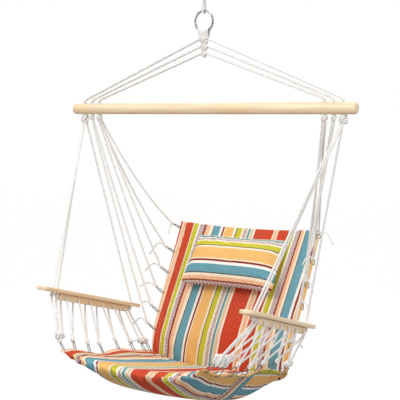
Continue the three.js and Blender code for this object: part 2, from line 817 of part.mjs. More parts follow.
function makeBackRopes(name, side) {
  const bundles = barKnotWidths.map((width, row) => barKnot(side, row));
  const eyelets = [];
  backLinkShares.forEach((rise, i) => {
    const { row, x, y } = backRopeStarts[i];
    const start = knotExit(side, row, (-x * knotSpread) / 2, (y * knotSpread) / 2);
    const place = eyelet(backPoint, rise, side);
    const sag = backSagShares[i] * start.distanceTo(place.point);
    const lean = along(place.point, start, 0.5);
    lean.z -= 2 * sag;
    const link = makeLink(place, lean);
    const knot = moved(link.top, link.direction, gap + endKnotHeight / 2);
    const steps = sag > ropeSize ? 8 : 3;
    bundles[row].push(ropeTube(sagging(start, knot, sag, steps), ropeSize));
    bundles[row].push(knotLump(knot, link.direction, endKnotWidth, endKnotHeight));
    addPiece(`back_link_${name}_${i + 1}`, link.geometry, "steel");
    eyelets.push(eyeletCutter(place));
  });
  addPiece(`lower_back_rope_${name}`, joined(bundles[1]), "rope");
  addPiece(`upper_back_rope_${name}`, joined(bundles[2]), "rope");
  return eyelets;
}

// Where the rope or lacing of each seat link comes from
function seatLinkTarget(side, i) {
  const foot = railTop - railHeight;
  if (i === 0) return onBoard(side, frontHole, -boardWidth, 0);
  if (i > laceCount) return onBoard(side, boardLength - rearHole, -boardWidth, 0);
  const from = onBoard(side, laceBack(i - 1), foot, 0);
  const to = onBoard(side, laceBack(Math.min(i, laceCount - 1)), foot, 0);
  return along(from, to, 0.5);
}

function makeSide(name, side) {
  const backEyelets = makeBackRopes(name, side);
  const places = seatLinkShares.map((run) => eyelet(seatPoint, run, side));
  const links = places.map((place, i) => makeLink(place, seatLinkTarget(side, i)));
  links.forEach((link, i) => addPiece(`seat_link_${name}_${i + 1}`, link.geometry, "steel"));
  makeArmrest(name, side);
  makeArmrestRope(name, side, links[0], links[links.length - 1]);
  makeLacing(name, side, links[0], links.slice(1, -1));
  return { back: backEyelets, seat: places.map(eyeletCutter) };
}

function makeSling(eyelets) {
  const allowance = seamAllowance / backHeight;
  const back = panel(backPoint, -allowance, 1, backPad);
  const grownBack = panel(backPoint, -allowance, 1, backPad, gap);
  addPiece("back_panel", cut(back, eyelets.flatMap((e) => e.back)), "fabric");
  const seat = panel(seatPoint, 0, 1, seatPad);
  const seatCutters = [grownBack, ...eyelets.flatMap((e) => e.seat)];
  addPiece("seat_panel", cut(seat, seatCutters), "fabric");
}

// A strap of the same cloth, sewn to the underside of the seat from hem to hem
function makeStrap() {
  const skins = [[], []];
  for (const run of strapShares) {
    for (const share of columnShares.slice(1, -1)) {
      const { point, normal } = surfaceFrame(seatPoint, run, share);
      const drop = halfPad(seatPad, share) + strapClearance;
      skins[0].push(moved(point, normal, -drop));
      skins[1].push(moved(point, normal, -drop - strapThickness));
    }
  }
  addPiece("seat_strap", shell(skins, strapShares.length - 1, panelColumns - 2), "fabric");
}

// Pillow: crowned in front, flatter behind, sewn to the back panel along its top seam
function makePillow() {
  const top = surfaceFrame(backPoint, pillowTopShare, 0);
  const foot = surfaceFrame(backPoint, pillowFootShare, 0);
  const down = toward(top.point, moved(foot.point, foot.normal, pillowFootLift));
  const forward = down.clone().cross(at(1, 0, 0)).normalize();
  const tuck = pillowFootLift * pillowTuckShare;
  const lift = (backPad + pillowEdge) / 2 + pillowBelly + pillowClearance - tuck;
  const seam = moved(top.point, forward, lift);
  const rows = 10;
  const columns = 14;
  const skins = [[], []];
  for (let i = 0; i <= rows; i++) {
    for (let k = 0; k <= columns; k++) {
      const v = Math.sin((Math.PI / 2) * ((2 * i) / rows - 1));
      const u = Math.sin((Math.PI / 2) * ((2 * k) / columns - 1));
      const crown = Math.sqrt((1 - u ** 4) * (1 - v ** 2));
      const x = (pillowWidth / 2 - pillowDrawIn * (1 - v ** 2)) * u;
      const slide = (pillowLength / 2 - pillowDrawIn * (1 - u ** 2)) * v + pillowLength / 2;
      const base = moved(moved(seam, down, slide), at(1, 0, 0), x);
      skins[0].push(moved(base, forward, pillowEdge / 2 + pillowCrown * crown));
      skins[1].push(moved(base, forward, -pillowEdge / 2 - pillowBelly * crown));
    }
  }
  const corners = [...skins[0], ...skins[1]].flatMap((p) => p.toArray());
  const width = columns + 1;
  const under = (rows + 1) * width;
  const faces = [];
  const quad = (a, b, c, d) => faces.push(a, c, b, a, d, c);
  for (let i = 0; i < rows; i++) {
    for (let k = 0; k < columns; k++) {
      const a = i * width + k;
      quad(a, a + 1, a + 1 + width, a + width);
      quad(under + a, under + a + width, under + a + 1 + width, under + a + 1);
    }
    quad(i * width, (i + 1) * width, under + (i + 1) * width, under + i * width);
    const right = i * width + columns;
    quad(right, under + right, under + right + width, right + width);
  }
  for (let k = 0; k < columns; k++) {
    quad(k, under + k, under + k + 1, k + 1);
    const far = rows * width + k;
    quad(far, far + 1, under + far + 1, under + far);
  }
  const geometry = new THREE.BufferGeometry();
  geometry.setAttribute("position", new THREE.Float32BufferAttribute(corners, 3));
  geometry.setIndex(faces);
  addPiece("pillow", geometry, "pillowFabric");
}

makeHangingRope();
makeRing();
makeFan();
makeBar();
const eyelets = Object.entries(sides).map(([name, side]) => makeSide(name, side));
makeSling(eyelets);
makeStrap();
makePillow();

export default part;
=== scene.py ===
import math
import bpy
import bmesh
import numpy as np
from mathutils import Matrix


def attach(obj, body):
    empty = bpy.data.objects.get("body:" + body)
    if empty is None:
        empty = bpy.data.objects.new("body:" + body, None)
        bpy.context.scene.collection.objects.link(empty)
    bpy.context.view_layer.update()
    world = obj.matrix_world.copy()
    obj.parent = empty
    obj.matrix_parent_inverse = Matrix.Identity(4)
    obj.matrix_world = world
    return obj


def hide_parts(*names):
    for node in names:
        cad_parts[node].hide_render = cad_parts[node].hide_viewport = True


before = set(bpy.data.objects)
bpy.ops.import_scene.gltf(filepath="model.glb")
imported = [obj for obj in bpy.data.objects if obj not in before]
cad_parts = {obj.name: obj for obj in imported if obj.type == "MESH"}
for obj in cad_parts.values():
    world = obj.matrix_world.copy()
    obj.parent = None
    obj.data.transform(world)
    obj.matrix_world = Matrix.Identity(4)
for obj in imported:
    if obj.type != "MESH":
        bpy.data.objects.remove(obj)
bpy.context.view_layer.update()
sides = {"left": -1.0, "right": 1.0}
barZ = -0.412  # every shape below is worked out from the middle of the spreader bar

print("camera")
camera = {"place": (1.812, -2.708, -0.425), "turn": 34.0, "down": 4.54, "lens": 98.64, "sensor": 36.0,
          "sight": 60.0}
cameraData = bpy.data.cameras.new("camera")
cameraData.sensor_width = camera["sensor"]
cameraData.lens = camera["lens"]
cameraData.clip_end = camera["sight"]
cameraObject = bpy.data.objects.new("camera", cameraData)
cameraObject.location = camera["place"]
cameraObject.rotation_euler = (math.radians(90 - camera["down"]), 0, math.radians(camera["turn"]))
bpy.context.scene.collection.objects.link(cameraObject)
bpy.context.scene.camera = cameraObject


# ---- shapes as arrays

def unit(v):
    # every row divided by its length
    v = np.asarray(v, float)
    return v / np.maximum(np.linalg.norm(v, axis=-1, keepdims=True), 1e-12)


def pt(x, y, z):
    return np.array([x, y, z], float)


def endsDense(count):
    # numbers from -1 to 1 that lie closer together towards both ends
    return np.sin(np.pi / 2 * np.linspace(-1, 1, count))


def upright(x, y, z):
    # a path straight up through the heights z
    return np.column_stack([np.full(len(z), x), np.full(len(z), y), z])


def distances(path):
    # the distance of each point of a path from its first one
    steps = np.linalg.norm(np.diff(path, axis=0), axis=1)
    return np.concatenate([[0.0], np.cumsum(steps)])


def evenPath(points, step):
    # the same line in even steps
    s = distances(points)
    count = max(4, int(math.ceil(s[-1] / step)))
    want = np.linspace(0, s[-1], count + 1)
    return np.column_stack([np.interp(want, s, points[:, k]) for k in range(3)])


def smoothPath(points, step):
    # a cubic through every point, whose slope at a point weighs its two neighbours by the root
    # of their distance, so that a short stretch beside a long one stays calm
    p = np.vstack([2 * points[0] - points[1], points, 2 * points[-1] - points[-2]])
    t = np.concatenate([[0.0], np.cumsum(np.sqrt(np.linalg.norm(np.diff(p, axis=0), axis=1)) + 1e-9)])
    d = np.diff(t)[:, None]
    v = np.diff(p, axis=0) / d
    slope = (v[:-1] * d[1:] + v[1:] * d[:-1]) / (d[1:] + d[:-1])
    a, b = p[1:-2, None], p[2:-1, None]
    ma, mb = (slope[:-1] * d[1:-1])[:, None], (slope[1:] * d[1:-1])[:, None]
    u = np.linspace(0, 1, 32, endpoint=False)[None, :, None]
    dense = ((2 * u ** 3 - 3 * u ** 2 + 1) * a + (u ** 3 - 2 * u ** 2 + u) * ma
             + (3 * u ** 2 - 2 * u ** 3) * b + (u ** 3 - u ** 2) * mb)
    return evenPath(np.vstack([dense.reshape(-1, 3), p[-2]]), step)


def alongPath(path, closed):
    # directions at each point of a path: onward, and two across it, one of which stays near the
    # line that the path bends round least
    if closed:
        onward = unit(np.roll(path, -1, 0) - np.roll(path, 1, 0))
    else:
        onward = unit(np.gradient(path, axis=0))
    across = unit(np.cross(onward, np.linalg.svd(path - path.mean(0))[2][-1]))
    return onward, across, np.cross(across, onward)


def grid(rows, columns, closedRows=False, closedColumns=True):
    # the faces between the points of a grid, row by row, joined round where it is closed
    i, k = np.meshgrid(np.arange(rows if closedRows else rows - 1),
                       np.arange(columns if closedColumns else columns - 1), indexing="ij")
    below, after = (i + 1) % rows * columns, (k + 1) % columns
    corners = [i * columns + k, i * columns + after, below + after, below + k]
    return np.stack(corners, -1).reshape(-1, 4)


def tube(path, radius, sides=12, closed=False, twist=None):
    # a ring of points round each point of a path: radius * (1 + depth * cos(strands * (turn -
    # 2 pi * distance / pitch))), with a rounded end where the path is open
    onward, across, up = alongPath(path, closed)
    turn = 2 * np.pi * np.arange(sides) / sides
    s = distances(path)
    radius = np.broadcast_to(radius, len(path))[:, None]
    # groove is the strands' relief; it is also kept as the shade that paints the rope's grooves darker, as
    # painted shade
    groove = np.zeros((len(path), sides))
    if twist:
        groove = np.cos(twist["strands"] * (turn[None] - 2 * np.pi * s[:, None] / twist["pitch"]))
        radius = radius * (1 + twist["depth"] * groove) / (1 + twist["depth"])
    rings = (across[:, None] * (radius * np.cos(turn))[..., None]
             + up[:, None] * (radius * np.sin(turn))[..., None])
    points = (path[:, None] + rings).reshape(-1, 3)
    faces = grid(len(path), sides, closed)[:, [0, 3, 2, 1]].tolist()
    groove = groove.reshape(-1)
    if not closed:
        ends = np.stack([path[0] - onward[0] * radius[0].mean() * 0.5,
                         path[-1] + onward[-1] * radius[-1].mean() * 0.5])
        first, last, base = len(points), len(points) + 1, len(points) - sides
        points = np.vstack([points, ends])
        groove = np.append(groove, [0, 0])
        faces += [[first, j, (j + 1) % sides] for j in range(sides)]
        faces += [[last, base + (j + 1) % sides, base + j] for j in range(sides)]
    return {"points": points, "faces": faces, "shade": groove}


def together(shapes):
    # several shapes as one
    faces, count = [], 0
    for shape in shapes:
        faces += [[v + count for v in face] for face in shape["faces"]]
        count += len(shape["points"])
    return {"points": np.vstack([s["points"] for s in shapes]), "faces": faces,
            "shade": np.concatenate([s["shade"] for s in shapes])}


def lathed(profile, axis, around):
    # a profile of (distance, height) turned about an axis through the bar's middle
    profile = np.asarray(profile, float)
    turn = 2 * np.pi * np.arange(around) / around
    axis = unit(axis)
    one = unit(np.cross(axis, pt(0.3, 1, 0.2)))
    two = np.cross(axis, one)
    ring = one * np.cos(turn)[:, None] + two * np.sin(turn)[:, None]
    points = (axis * profile[:, 1, None, None] + ring[None] * profile[:, 0, None, None]).reshape(-1, 3)
    faces = grid(len(profile), around).tolist()
    faces += [list(range(around))[::-1], list(range(len(points) - around, len(points)))]
    return {"points": points, "faces": faces, "shade": np.zeros(len(points))}


def newObject(name, points, faces):
    mesh = bpy.data.meshes.new(name)
    mesh.from_pydata(np.asarray(points).tolist(), [], faces)
    mesh.update()
    thing = bpy.data.objects.new(name, mesh)
    bpy.context.scene.collection.objects.link(thing)
    return thing


def faceOutwards(mesh, sure=False):
    # joins points at one place, and turns the faces outwards unless they are known to be
    work = bmesh.new()
    work.from_mesh(mesh)
    bmesh.ops.remove_doubles(work, verts=work.verts, dist=1e-7)
    if not sure:
        bmesh.ops.recalc_face_normals(work, faces=work.faces)
    work.to_mesh(mesh)
    work.free()


def pointsOf(mesh):
    flat = np.empty(len(mesh.vertices) * 3)
    mesh.vertices.foreach_get("co", flat)
    return flat.reshape(-1, 3)


def addPiece(name, shape, body, kind, node=None):
    # backLink_left_1 takes the place of the solid back_link_left_1
    node = node or "".join("_" + c.lower() if c.isupper() else c for c in name)
    finish, slotName = kinds[kind]
    piece = newObject(name, shape["points"] + pt(0, 0, barZ), shape["faces"])
    mesh = piece.data
    faceOutwards(mesh, shape.get("sure"))
    if len(mesh.vertices) == len(shape["points"]):
        for key, type_, field in (("shade", "FLOAT", "value"), ("weave", "FLOAT_VECTOR", "vector")):
            if key in shape:
                mesh.attributes.new(key, type_, "POINT").data.foreach_set(field, np.ravel(shape[key]))
    mesh.polygons.foreach_set("use_smooth", [True] * len(mesh.polygons))
    mesh.materials.append(finish)
    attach(piece, body)
    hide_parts(node)
    return piece


# ---- finishes

def linear(red, green, blue):
    # an ordinary 0 to 255 colour as Blender's linear one
    c = np.array([red, green, blue]) / 255.0
    return tuple(np.where(c <= 0.04045, c / 12.92, ((c + 0.055) / 1.055) ** 2.4)) + (1.0,)


white, black = linear(255, 255, 255), linear(0, 0, 0)


class Finish:
    # a material or the world with its nodes; a node given as a value means its first output

    def __init__(self, owner, inputs=None):
        owner.use_nodes = True
        self.owner, self.nodes, self.links = owner, owner.node_tree.nodes, owner.node_tree.links
        if inputs:
            self.surface(inputs)

    def put(self, node, inputs):
        for key, value in inputs.items():
            if isinstance(value, bpy.types.Node):
                value = value.outputs[0]
            if isinstance(value, bpy.types.NodeSocket):
                self.links.new(value, node.inputs[key])
            else:
                node.inputs[key].default_value = value
        return node

    def surface(self, inputs):
        return self.put(self.nodes["Principled BSDF"], inputs)

    def add(self, kind, inputs, **settings):
        node = self.nodes.new("ShaderNode" + kind)
        for key, value in settings.items():
            setattr(node, key, value)
        return self.put(node, inputs)

    def attribute(self, name, output):
        return self.add("Attribute", {}, attribute_name=name).outputs[output]

    def place(self):
        return self.add("TexCoord", {}).outputs["Object"]

    def noise(self, place, scale, detail, distortion=0.0):
        return self.add("TexNoise", {"Vector": place, "Scale": scale, "Detail": detail,
                                     "Distortion": distortion})

    def math(self, operation, a, b=0.0):
        return self.add("Math", {0: a, 1: b}, operation=operation)

    def times(self, a, b):
        return self.math("MULTIPLY", a, b)

    def ramp(self, factor, stops, interpolation="LINEAR"):
        node = self.add("ValToRGB", {0: factor})
        elements = node.color_ramp.elements
        node.color_ramp.interpolation = interpolation
        while len(elements) > 1:
            elements.remove(elements[-1])
        for i, (position, colour) in enumerate(stops):
            stop = elements.new(position) if i else elements[0]
            stop.position, stop.color = position, colour
        return node

    def mix(self, factor, a, b, blend="MIX"):
        return self.add("Mix", {0: factor, 6: a, 7: b}, data_type="RGBA", blend_type=blend).outputs[2]

    def wash(self, tint, factor, share, colour):
        # a share of another colour where the factor is high
        return self.mix(self.times(factor, share), tint, colour)

    def cover(self, tint, height, distance, strength=1.0):
        # ends a material: its colour, and the relief of its grain or threads
        bump = self.add("Bump", {"Height": height, "Distance": distance, "Strength": strength})
        self.surface({"Base Color": tint, "Normal": bump})
        return self.owner

    def seen(self, plain, bright, share, output):
        # a share of the bright shader where the camera or a reflection looks at it
        path = self.add("LightPath", {})
        looks = self.math("MAXIMUM", path.outputs["Is Camera Ray"], path.outputs["Is Glossy Ray"])
        mixed = self.add("MixShader", {0: self.times(looks, share), 1: plain, 2: bright})
        self.put(self.nodes[output], {"Surface": mixed})


# the groove colour is painted shade: the rope is painted darker between its strands and in the knots' cores
ropeLook = {"light": (253, 251, 248), "groove": (222, 216, 211), "soil": (236, 232, 226),
            "fibre": 1400.0}


def makeRopeFinish():
    look = Finish(bpy.data.materials.new("cottonRope"),
                  {"Roughness": 0.92, "Sheen Weight": 0.7, "Specular IOR Level": 0.2})
    place = look.place()
    # painted shade: the shade attribute picks the darker groove colour in the grooves between the strands
    groove = look.attribute("shade", "Fac")
    depth = look.add("MapRange", {"Value": groove, "From Min": -1.0, "From Max": 0.4})
    tint = look.mix(depth, linear(*ropeLook["groove"]), linear(*ropeLook["light"]))
    tint = look.wash(tint, look.noise(place, 60.0, 4.0), 0.3, linear(*ropeLook["soil"]))
    return look.cover(tint, look.noise(place, ropeLook["fibre"], 3.0), 0.0006)


woodLook = {"pale": (246, 226, 192), "dark": (230, 196, 152), "rings": (214, 176, 130),
            "vein": (248, 222, 182), "wide": (2.2, 38.0, 38.0), "thin": (14.0, 420.0, 420.0)}


def makeWoodFinish():
    look = Finish(bpy.data.materials.new("palePine"),
                  {"Roughness": 0.42, "Specular IOR Level": 0.45, "Coat Weight": 0.15})
    grain = look.attribute("weave", "Vector")
    wide, thin = [look.add("Mapping", {"Vector": grain, "Scale": woodLook[key]})
                  for key in ("wide", "thin")]
    vein = look.noise(thin, 1.0, 3.0)
    bands = look.add("TexWave", {"Vector": wide, "Scale": 0.9, "Distortion": 3.0, "Detail": 2.0},
                     wave_type="RINGS", rings_direction="X")
    tint = look.ramp(look.noise(wide, 1.6, 5.0, 0.6),
                     [(0.3, linear(*woodLook["dark"])), (0.62, linear(*woodLook["pale"]))])
    tint = look.wash(tint, bands, 0.22, linear(*woodLook["rings"]))
    tint = look.wash(tint, vein, 0.25, linear(*woodLook["vein"]))
    return look.cover(tint, vein, 0.0002, 0.5)


def makeSteelFinish(name, light, dark, roughness):
    look = Finish(bpy.data.materials.new(name), {"Metallic": 1.0})
    wear = look.noise(look.place(), 180.0, 5.0)
    look.surface({"Roughness": look.add("MapRange", {"Value": wear, "To Min": roughness - 0.08,
                                                     "To Max": roughness + 0.14})})
    tint = look.ramp(wear, [(0.35, linear(*dark)), (0.65, linear(*light))])
    return look.cover(tint, wear, 0.00012, 0.6)


# The cloth repeats every 355.6 mm. Each stripe is given by where it starts, in millimetres.
stripeColours = {
    "rust": (210, 66, 30), "lime": (206, 198, 46), "teal": (102, 162, 178), "tan": (246, 190, 112),
    "cream": (252, 238, 212), "peach": (246, 192, 150), "dark": (74, 42, 44), "wine": (146, 40, 28),
    "white": (252, 248, 240), "aqua": (92, 150, 170), "pale": (214, 222, 192), "fine": (222, 200, 196),
}
stripes = [
    (0.0, "rust"), (2.5, "cream"), (6.5, "peach"), (15.5, "cream"), (20.0, "rust"), (60.0, "dark"),
    (62.5, "cream"), (67.0, "lime"), (87.0, "white"), (92.0, "fine"), (108.0, "wine"), (113.0, "peach"),
    (125.0, "cream"), (132.0, "dark"), (135.0, "teal"), (163.0, "white"), (171.0, "wine"), (178.0, "cream"),
    (182.0, "tan"), (222.0, "cream"), (228.0, "dark"), (231.0, "lime"), (250.0, "cream"), (256.0, "fine"),
    (268.0, "cream"), (271.0, "aqua"), (279.0, "pale"), (285.0, "peach"), (291.0, "white"), (296.0, "rust"),
]
cloth = {"repeat": 355.6, "hatch": 5.0, "slant": 0.4, "thread": 1.25, "sewn": 15.0, "stitch": 4.2,
         "drift": 31.0, "hatchLight": (250, 240, 236), "hatchDark": (84, 48, 62),
         "hatchThin": (168, 60, 50),
         "faded": (255, 244, 226), "slub": (190, 182, 174), "sewing": (244, 226, 196)}


def makeClothFinish():
    look = Finish(bpy.data.materials.new("stripedCloth"),
                  {"Roughness": 0.9, "Sheen Weight": 0.03, "Sheen Roughness": 0.5,
                   "Specular IOR Level": 0.12})
    across, onward, edge = look.add("SeparateXYZ", {"Vector": look.attribute("weave", "Vector")}).outputs
    share = look.math("FRACT", look.math("DIVIDE", across, cloth["repeat"]))

    # the stripes, in two ramps because one holds 32 colours at most
    half = len(stripes) // 2
    stops = [(start / cloth["repeat"], linear(*stripeColours[key])) for start, key in stripes]
    halves = [look.ramp(share, part, "CONSTANT") for part in (stops[:half], stops[half:])]
    tint = look.mix(look.math("GREATER_THAN", share, stops[half][0]), *halves)

    # the fine stripes are hatched
    edges = [(0.0, black)]
    for (_, key), (start, _), (end, _) in zip(stripes, stops, stops[1:]):
        if key == "fine":
            edges += [(start, white), (end, black)]
    fine = look.ramp(share, edges, "CONSTANT")
    slant = look.math("SUBTRACT", across, look.times(onward, cloth["slant"]))
    slant = look.math("DIVIDE", slant, cloth["hatch"])
    hatch = look.math("GREATER_THAN", look.math("FRACT", slant), 0.5)
    thin = look.math("GREATER_THAN", look.math("FRACT", look.times(slant, 0.5)), 0.78)
    hatched = look.mix(hatch, linear(*cloth["hatchLight"]), linear(*cloth["hatchDark"]))
    tint = look.mix(fine, tint, look.mix(thin, hatched, linear(*cloth["hatchThin"])))

    # fading, uneven threads and the seam along the hem
    place = look.place()
    slub = look.noise(place, 420.0, 2.0)
    tint = look.wash(tint, look.noise(place, 9.0, 4.0), 0.05, linear(*cloth["faded"]))
    tint = look.wash(tint, slub, 0.16, look.mix(1.0, tint, linear(*cloth["slub"]), "MULTIPLY"))
    row = look.math("ABSOLUTE", look.math("SUBTRACT", edge, cloth["sewn"]))
    stitch = look.math("FRACT", look.math("DIVIDE", onward, cloth["stitch"]))
    thread = look.times(look.math("LESS_THAN", row, 0.5), look.math("LESS_THAN", stitch, 0.62))
    tint = look.wash(tint, thread, 0.35, linear(*cloth["sewing"]))

    # relief: warp and weft, slubs, the seam's valley and its stitches
    warp, weft = [look.math("SINE", look.times(way, 2 * np.pi / cloth["thread"]))
                  for way in (across, onward)]
    valley = look.add("MapRange", {"Value": row, "From Max": 2.5, "To Min": -5.0, "To Max": 0.0})
    height = look.math("ADD", look.times(warp, weft), look.times(slub, 1.2))
    height = look.math("ADD", height, look.math("ADD", valley, look.times(thread, 3.0)))
    return look.cover(tint, height, 0.00022, 0.7)


print("finishes")
cottonRope = makeRopeFinish()
palePine = makeWoodFinish()
ringSteel = makeSteelFinish("ringSteel", (172, 172, 171), (112, 112, 112), 0.24)
linkSteel = makeSteelFinish("linkSteel", (150, 147, 143), (84, 80, 78), 0.36)
stripedCloth = makeClothFinish()
# The finish and the slot of each kind of piece
kinds = {"rope": (cottonRope, "cotton_rope"), "wood": (palePine, "pine"),
         "ring": (ringSteel, "polished_steel"), "link": (linkSteel, "dark_steel"),
         "cloth": (stripedCloth, "striped_fabric"), "pillow": (stripedCloth, "pillow_fabric")}

# ---- ropes and knots

rope = {"radius": 0.0032, "step": 0.0026, "sides": 10, "strandOffset": 0.0032}
lay = {"strands": 3, "pitch": 0.019, "depth": 0.08}
knotLook = {"wideFrom": 0.020, "thickest": 0.21, "sides": 9, "pitch": 0.013, "core": (0.41, 0.43),
            "coreShade": -0.9}


def ropeAlong(points, radius=rope["radius"], smooth=True):
    path = (smoothPath if smooth else evenPath)(np.asarray(points, float), rope["step"])
    twist = dict(lay, pitch=lay["pitch"] * radius / rope["radius"])
    return tube(path, radius, rope["sides"], twist=twist)


def knot(centre, axis, width, height, radius=rope["radius"], depth=None, spin=0.0):
    # a rope wound round a lump: distance = out + swing * cos(3 t), height = tall * sin(3 t), at
    # the turn 2 t, or 3 and 5 windings where the lump is wide, over a core that fills its middle
    radius = min(radius, width * knotLook["thickest"])
    wide = width > knotLook["wideFrom"]
    windings, weaves, swing, count = (3, 5, 0.34, 150) if wide else (2, 3, 0.42, 90)
    t = np.linspace(0, 2 * np.pi, count, endpoint=False)
    out = (width / 2 - radius) * (1 - swing + swing * np.cos(weaves * t))
    tall = (height / 2 - radius) * np.sin(weaves * t)
    turn = windings * t + spin
    path = np.column_stack([out * np.cos(turn), out * np.sin(turn) * (depth or width) / width, tall])
    winding = tube(path, radius, knotLook["sides"], closed=True, twist=dict(lay, pitch=knotLook["pitch"]))
    lift = np.linspace(-1, 1, 9)
    profile = np.column_stack([knotLook["core"][0] * width * np.sqrt(1 - lift ** 2) + 1e-5,
                               knotLook["core"][1] * height * lift])
    core = lathed(profile, pt(0, 0, 1), 14)
    # painted shade: the core takes the darker groove colour, as shade between the windings
    core["shade"][:] = knotLook["coreShade"]
    core["points"][:, 1] *= (depth or width) / width
    shape = together([winding, core])
    axis = unit(axis)
    one = unit(np.cross(pt(0, 1, 0) if abs(axis[1]) < 0.9 else pt(1, 0, 0), axis))
    shape["points"] = shape["points"] @ np.stack([one, np.cross(axis, one), axis]) + centre
    return shape


# ---- sling surfaces, as in the solid model

seat = {"reach": 0.369, "length": 0.440, "drop": 0.692, "slope": 0.076, "half": 0.248, "lip": 0.028,
        "depth": 0.070, "share": 0.6, "wall": 0.5, "fill": 0.8, "seamSag": 0.038, "seamBelly": 0.034,
        "pad": 0.017}
back = {"height": 0.399, "run": 0.182, "half": 0.258, "topSag": 0.009, "knee": 0.12, "round": 0.1,
        "crest": 0.13, "pad": 0.013, "allowance": 0.014}
hem = {"thick": 0.005, "band": 0.018, "inset": 0.007}
hemWaves = {
    "left": [(0.10, 0.06, 0.006), (0.38, 0.10, -0.011), (0.62, 0.10, 0.006)],
    "right": [(0.0, 0.06, 0.013), (0.2, 0.09, -0.007), (0.45, 0.12, -0.012), (0.72, 0.08, 0.008),
              (0.92, 0.04, -0.010)],
}


def bucket(run, across):
    # depth * wall ^ 2 * (3 - 2 * wall) * (1 - reach ^ 3), where wall goes from 0 to 1 over a share
    # of the half width and reach from 0 to 1 towards the front edge and the seam
    wall = np.minimum(1, (1 - np.abs(across)) / seat["wall"])
    reach = np.abs(run - seat["share"]) / np.where(run < seat["share"], seat["share"], 1 - seat["share"])
    return seat["depth"] * wall ** 2 * (3 - 2 * wall) * (1 - reach ** 3)


def seatPoint(run, across):
    # z = -(drop + slope * run + lip * (1 - |a| ^ 2.2)(1 - run) + bucket + seamSag * (1 - a ^ 6)
    # * run ^ 2) + a ^ 6 * the hem's waves
    a = np.abs(across)
    deep = 1 - a ** 6
    lip = seat["lip"] * (1 - a ** 2.2) * (1 - run)
    seam = seat["seamSag"] * deep * run ** 2
    waves = {}
    for name, parts in hemWaves.items():
        waves[name] = sum(lift * np.exp(-((run - place) / spread) ** 2) for place, spread, lift in parts)
    wave = a ** 6 * np.where(np.asarray(across) < 0, waves["left"], waves["right"])
    y = -seat["reach"] + seat["length"] * run + seat["seamBelly"] * deep * run ** 3
    z = -seat["drop"] - seat["slope"] * run - lip - bucket(run, across) - seam + wave
    return np.stack(np.broadcast_arrays(seat["half"] * across, y, z), -1)


def backPoint(rise, across):
    # steep above the seam, then leaning back past a rounded knee
    bend = lambda s: np.hypot(s - back["knee"], back["round"]) + s - back["knee"]
    lean = (bend(rise) - bend(0)) / (bend(1) - bend(0))
    lean = lean * (1 + back["crest"] * (1 - lean))
    a = np.abs(across)
    low = (1 - rise) ** 3
    half = seat["half"] + (back["half"] - seat["half"]) * np.minimum(1, 2 * rise)
    y = -seat["reach"] + seat["length"] + back["run"] * lean + seat["seamBelly"] * (1 - a ** 6) * low
    sag = seat["seamSag"] * (1 - a ** 6) * low + back["topSag"] * (1 - a ** 2.2) * np.maximum(rise, 0) ** 6
    z = -seat["drop"] - seat["slope"] + back["height"] * rise - sag
    return np.stack(np.broadcast_arrays(half * across, y, z), -1)


def surfaceFrame(surface, run, across):
    # a place on a surface, its two directions there and the way up from it
    step = 0.002
    lengthways = unit(surface(run + step, across) - surface(run - step, across))
    crossways = unit(surface(run, across + step) - surface(run, across - step))
    return surface(run, across), lengthways, crossways, unit(np.cross(crossways, lengthways))


def halfPad(across, pad):
    # half the cloth's thickness: (hem + (pad - hem) * sqrt(1 - |across / flat| ^ 4)) / 2
    flat = 1 - hem["band"] / seat["half"]
    crown = np.sqrt(np.maximum(0, 1 - np.abs(across / flat) ** 4))
    return (hem["thick"] + (pad - hem["thick"]) * crown)[..., None] / 2


# ---- where the links, the boards and the ropes are

link = {"wire": 0.0028, "width": 0.0145, "length": 0.034, "lean": 0.65, "turn": -29.0}
bar = {"length": 1.0, "size": 0.034, "bore": 0.458, "pitch": 0.0295, "hole": 0.0104,
       "knotWidths": (0.027, 0.018, 0.021), "knotHeights": (0.027, 0.017, 0.019), "socket": 0.007}
board = {"length": 0.445, "width": 0.044, "thick": 0.012, "edge": 0.0035, "front": (0.352, -0.340, -0.515),
         "rear": (0.316, 0.089, -0.628), "frontHole": 0.058, "pitch": 0.019, "rearHole": 0.038,
         "hole": 0.008, "knot": (0.015, 0.014), "gatherHeight": 0.022}
rail = {"length": 0.311, "height": 0.020, "thick": 0.016, "edge": 0.0025, "middle": 0.241, "holes": 6,
        "hole": 0.008, "pitch": 0.053, "lace": 0.0052, "laceRadius": 0.003, "knot": (0.014, 0.018)}
endKnot = (0.012, 0.015)
rearEnd = (0.019, 0.018)
gap = 0.0003
railTop = -board["thick"] - gap
laceUp = railTop - rail["height"] / 2
boardHoles = [board["frontHole"], board["frontHole"] + board["pitch"], board["length"] - board["rearHole"]]
linkEdge = 1 - hem["inset"] / seat["half"]
seatLinks = [0.03, 0.14, 0.29, 0.43, 0.6, 0.77, 0.895, 0.96]
backLinks = [0.945, 0.752, 0.586, 0.436, 0.293, 0.16]
backSags = [0.058, 0.046, 0.01, 0.008, 0.013, 0.013]
backStarts = [(2, 1, 1), (2, -1, 1), (2, 1, -1), (2, -1, -1), (1, 1, 0), (1, -1, 0)]


def linkPlace(surface, run, side, target):
    # an oval link through the hem: it points to where its rope comes from, less part of the
    # slant along the hem
    point, lengthways, crossways, normal = surfaceFrame(surface, run, side * linkEdge)
    way = unit(target - point)
    way = unit(way - lengthways * (way @ lengthways) * link["lean"])
    wide = unit(np.cross(lengthways, way))
    outward = unit(np.cross(np.cross(way, wide), normal))
    outward = outward * np.sign(outward @ (crossways * side))
    if surface is seatPoint and side < 0:  # these hang a little turned
        turn = math.radians(link["turn"])
        outward, wide = [v * math.cos(turn) + np.cross(way, v) * math.sin(turn) for v in (outward, wide)]
    foot = point + outward * (link["width"] - link["wire"]) / 2
    top = foot + way * (link["length"] - link["width"] / 2)
    return {"foot": foot, "way": way, "wide": wide, "top": top}


def pastLink(place, height):
    # the middle of a knot of this height that sits on top of a link
    return place["top"] + place["way"] * (gap + height / 2)


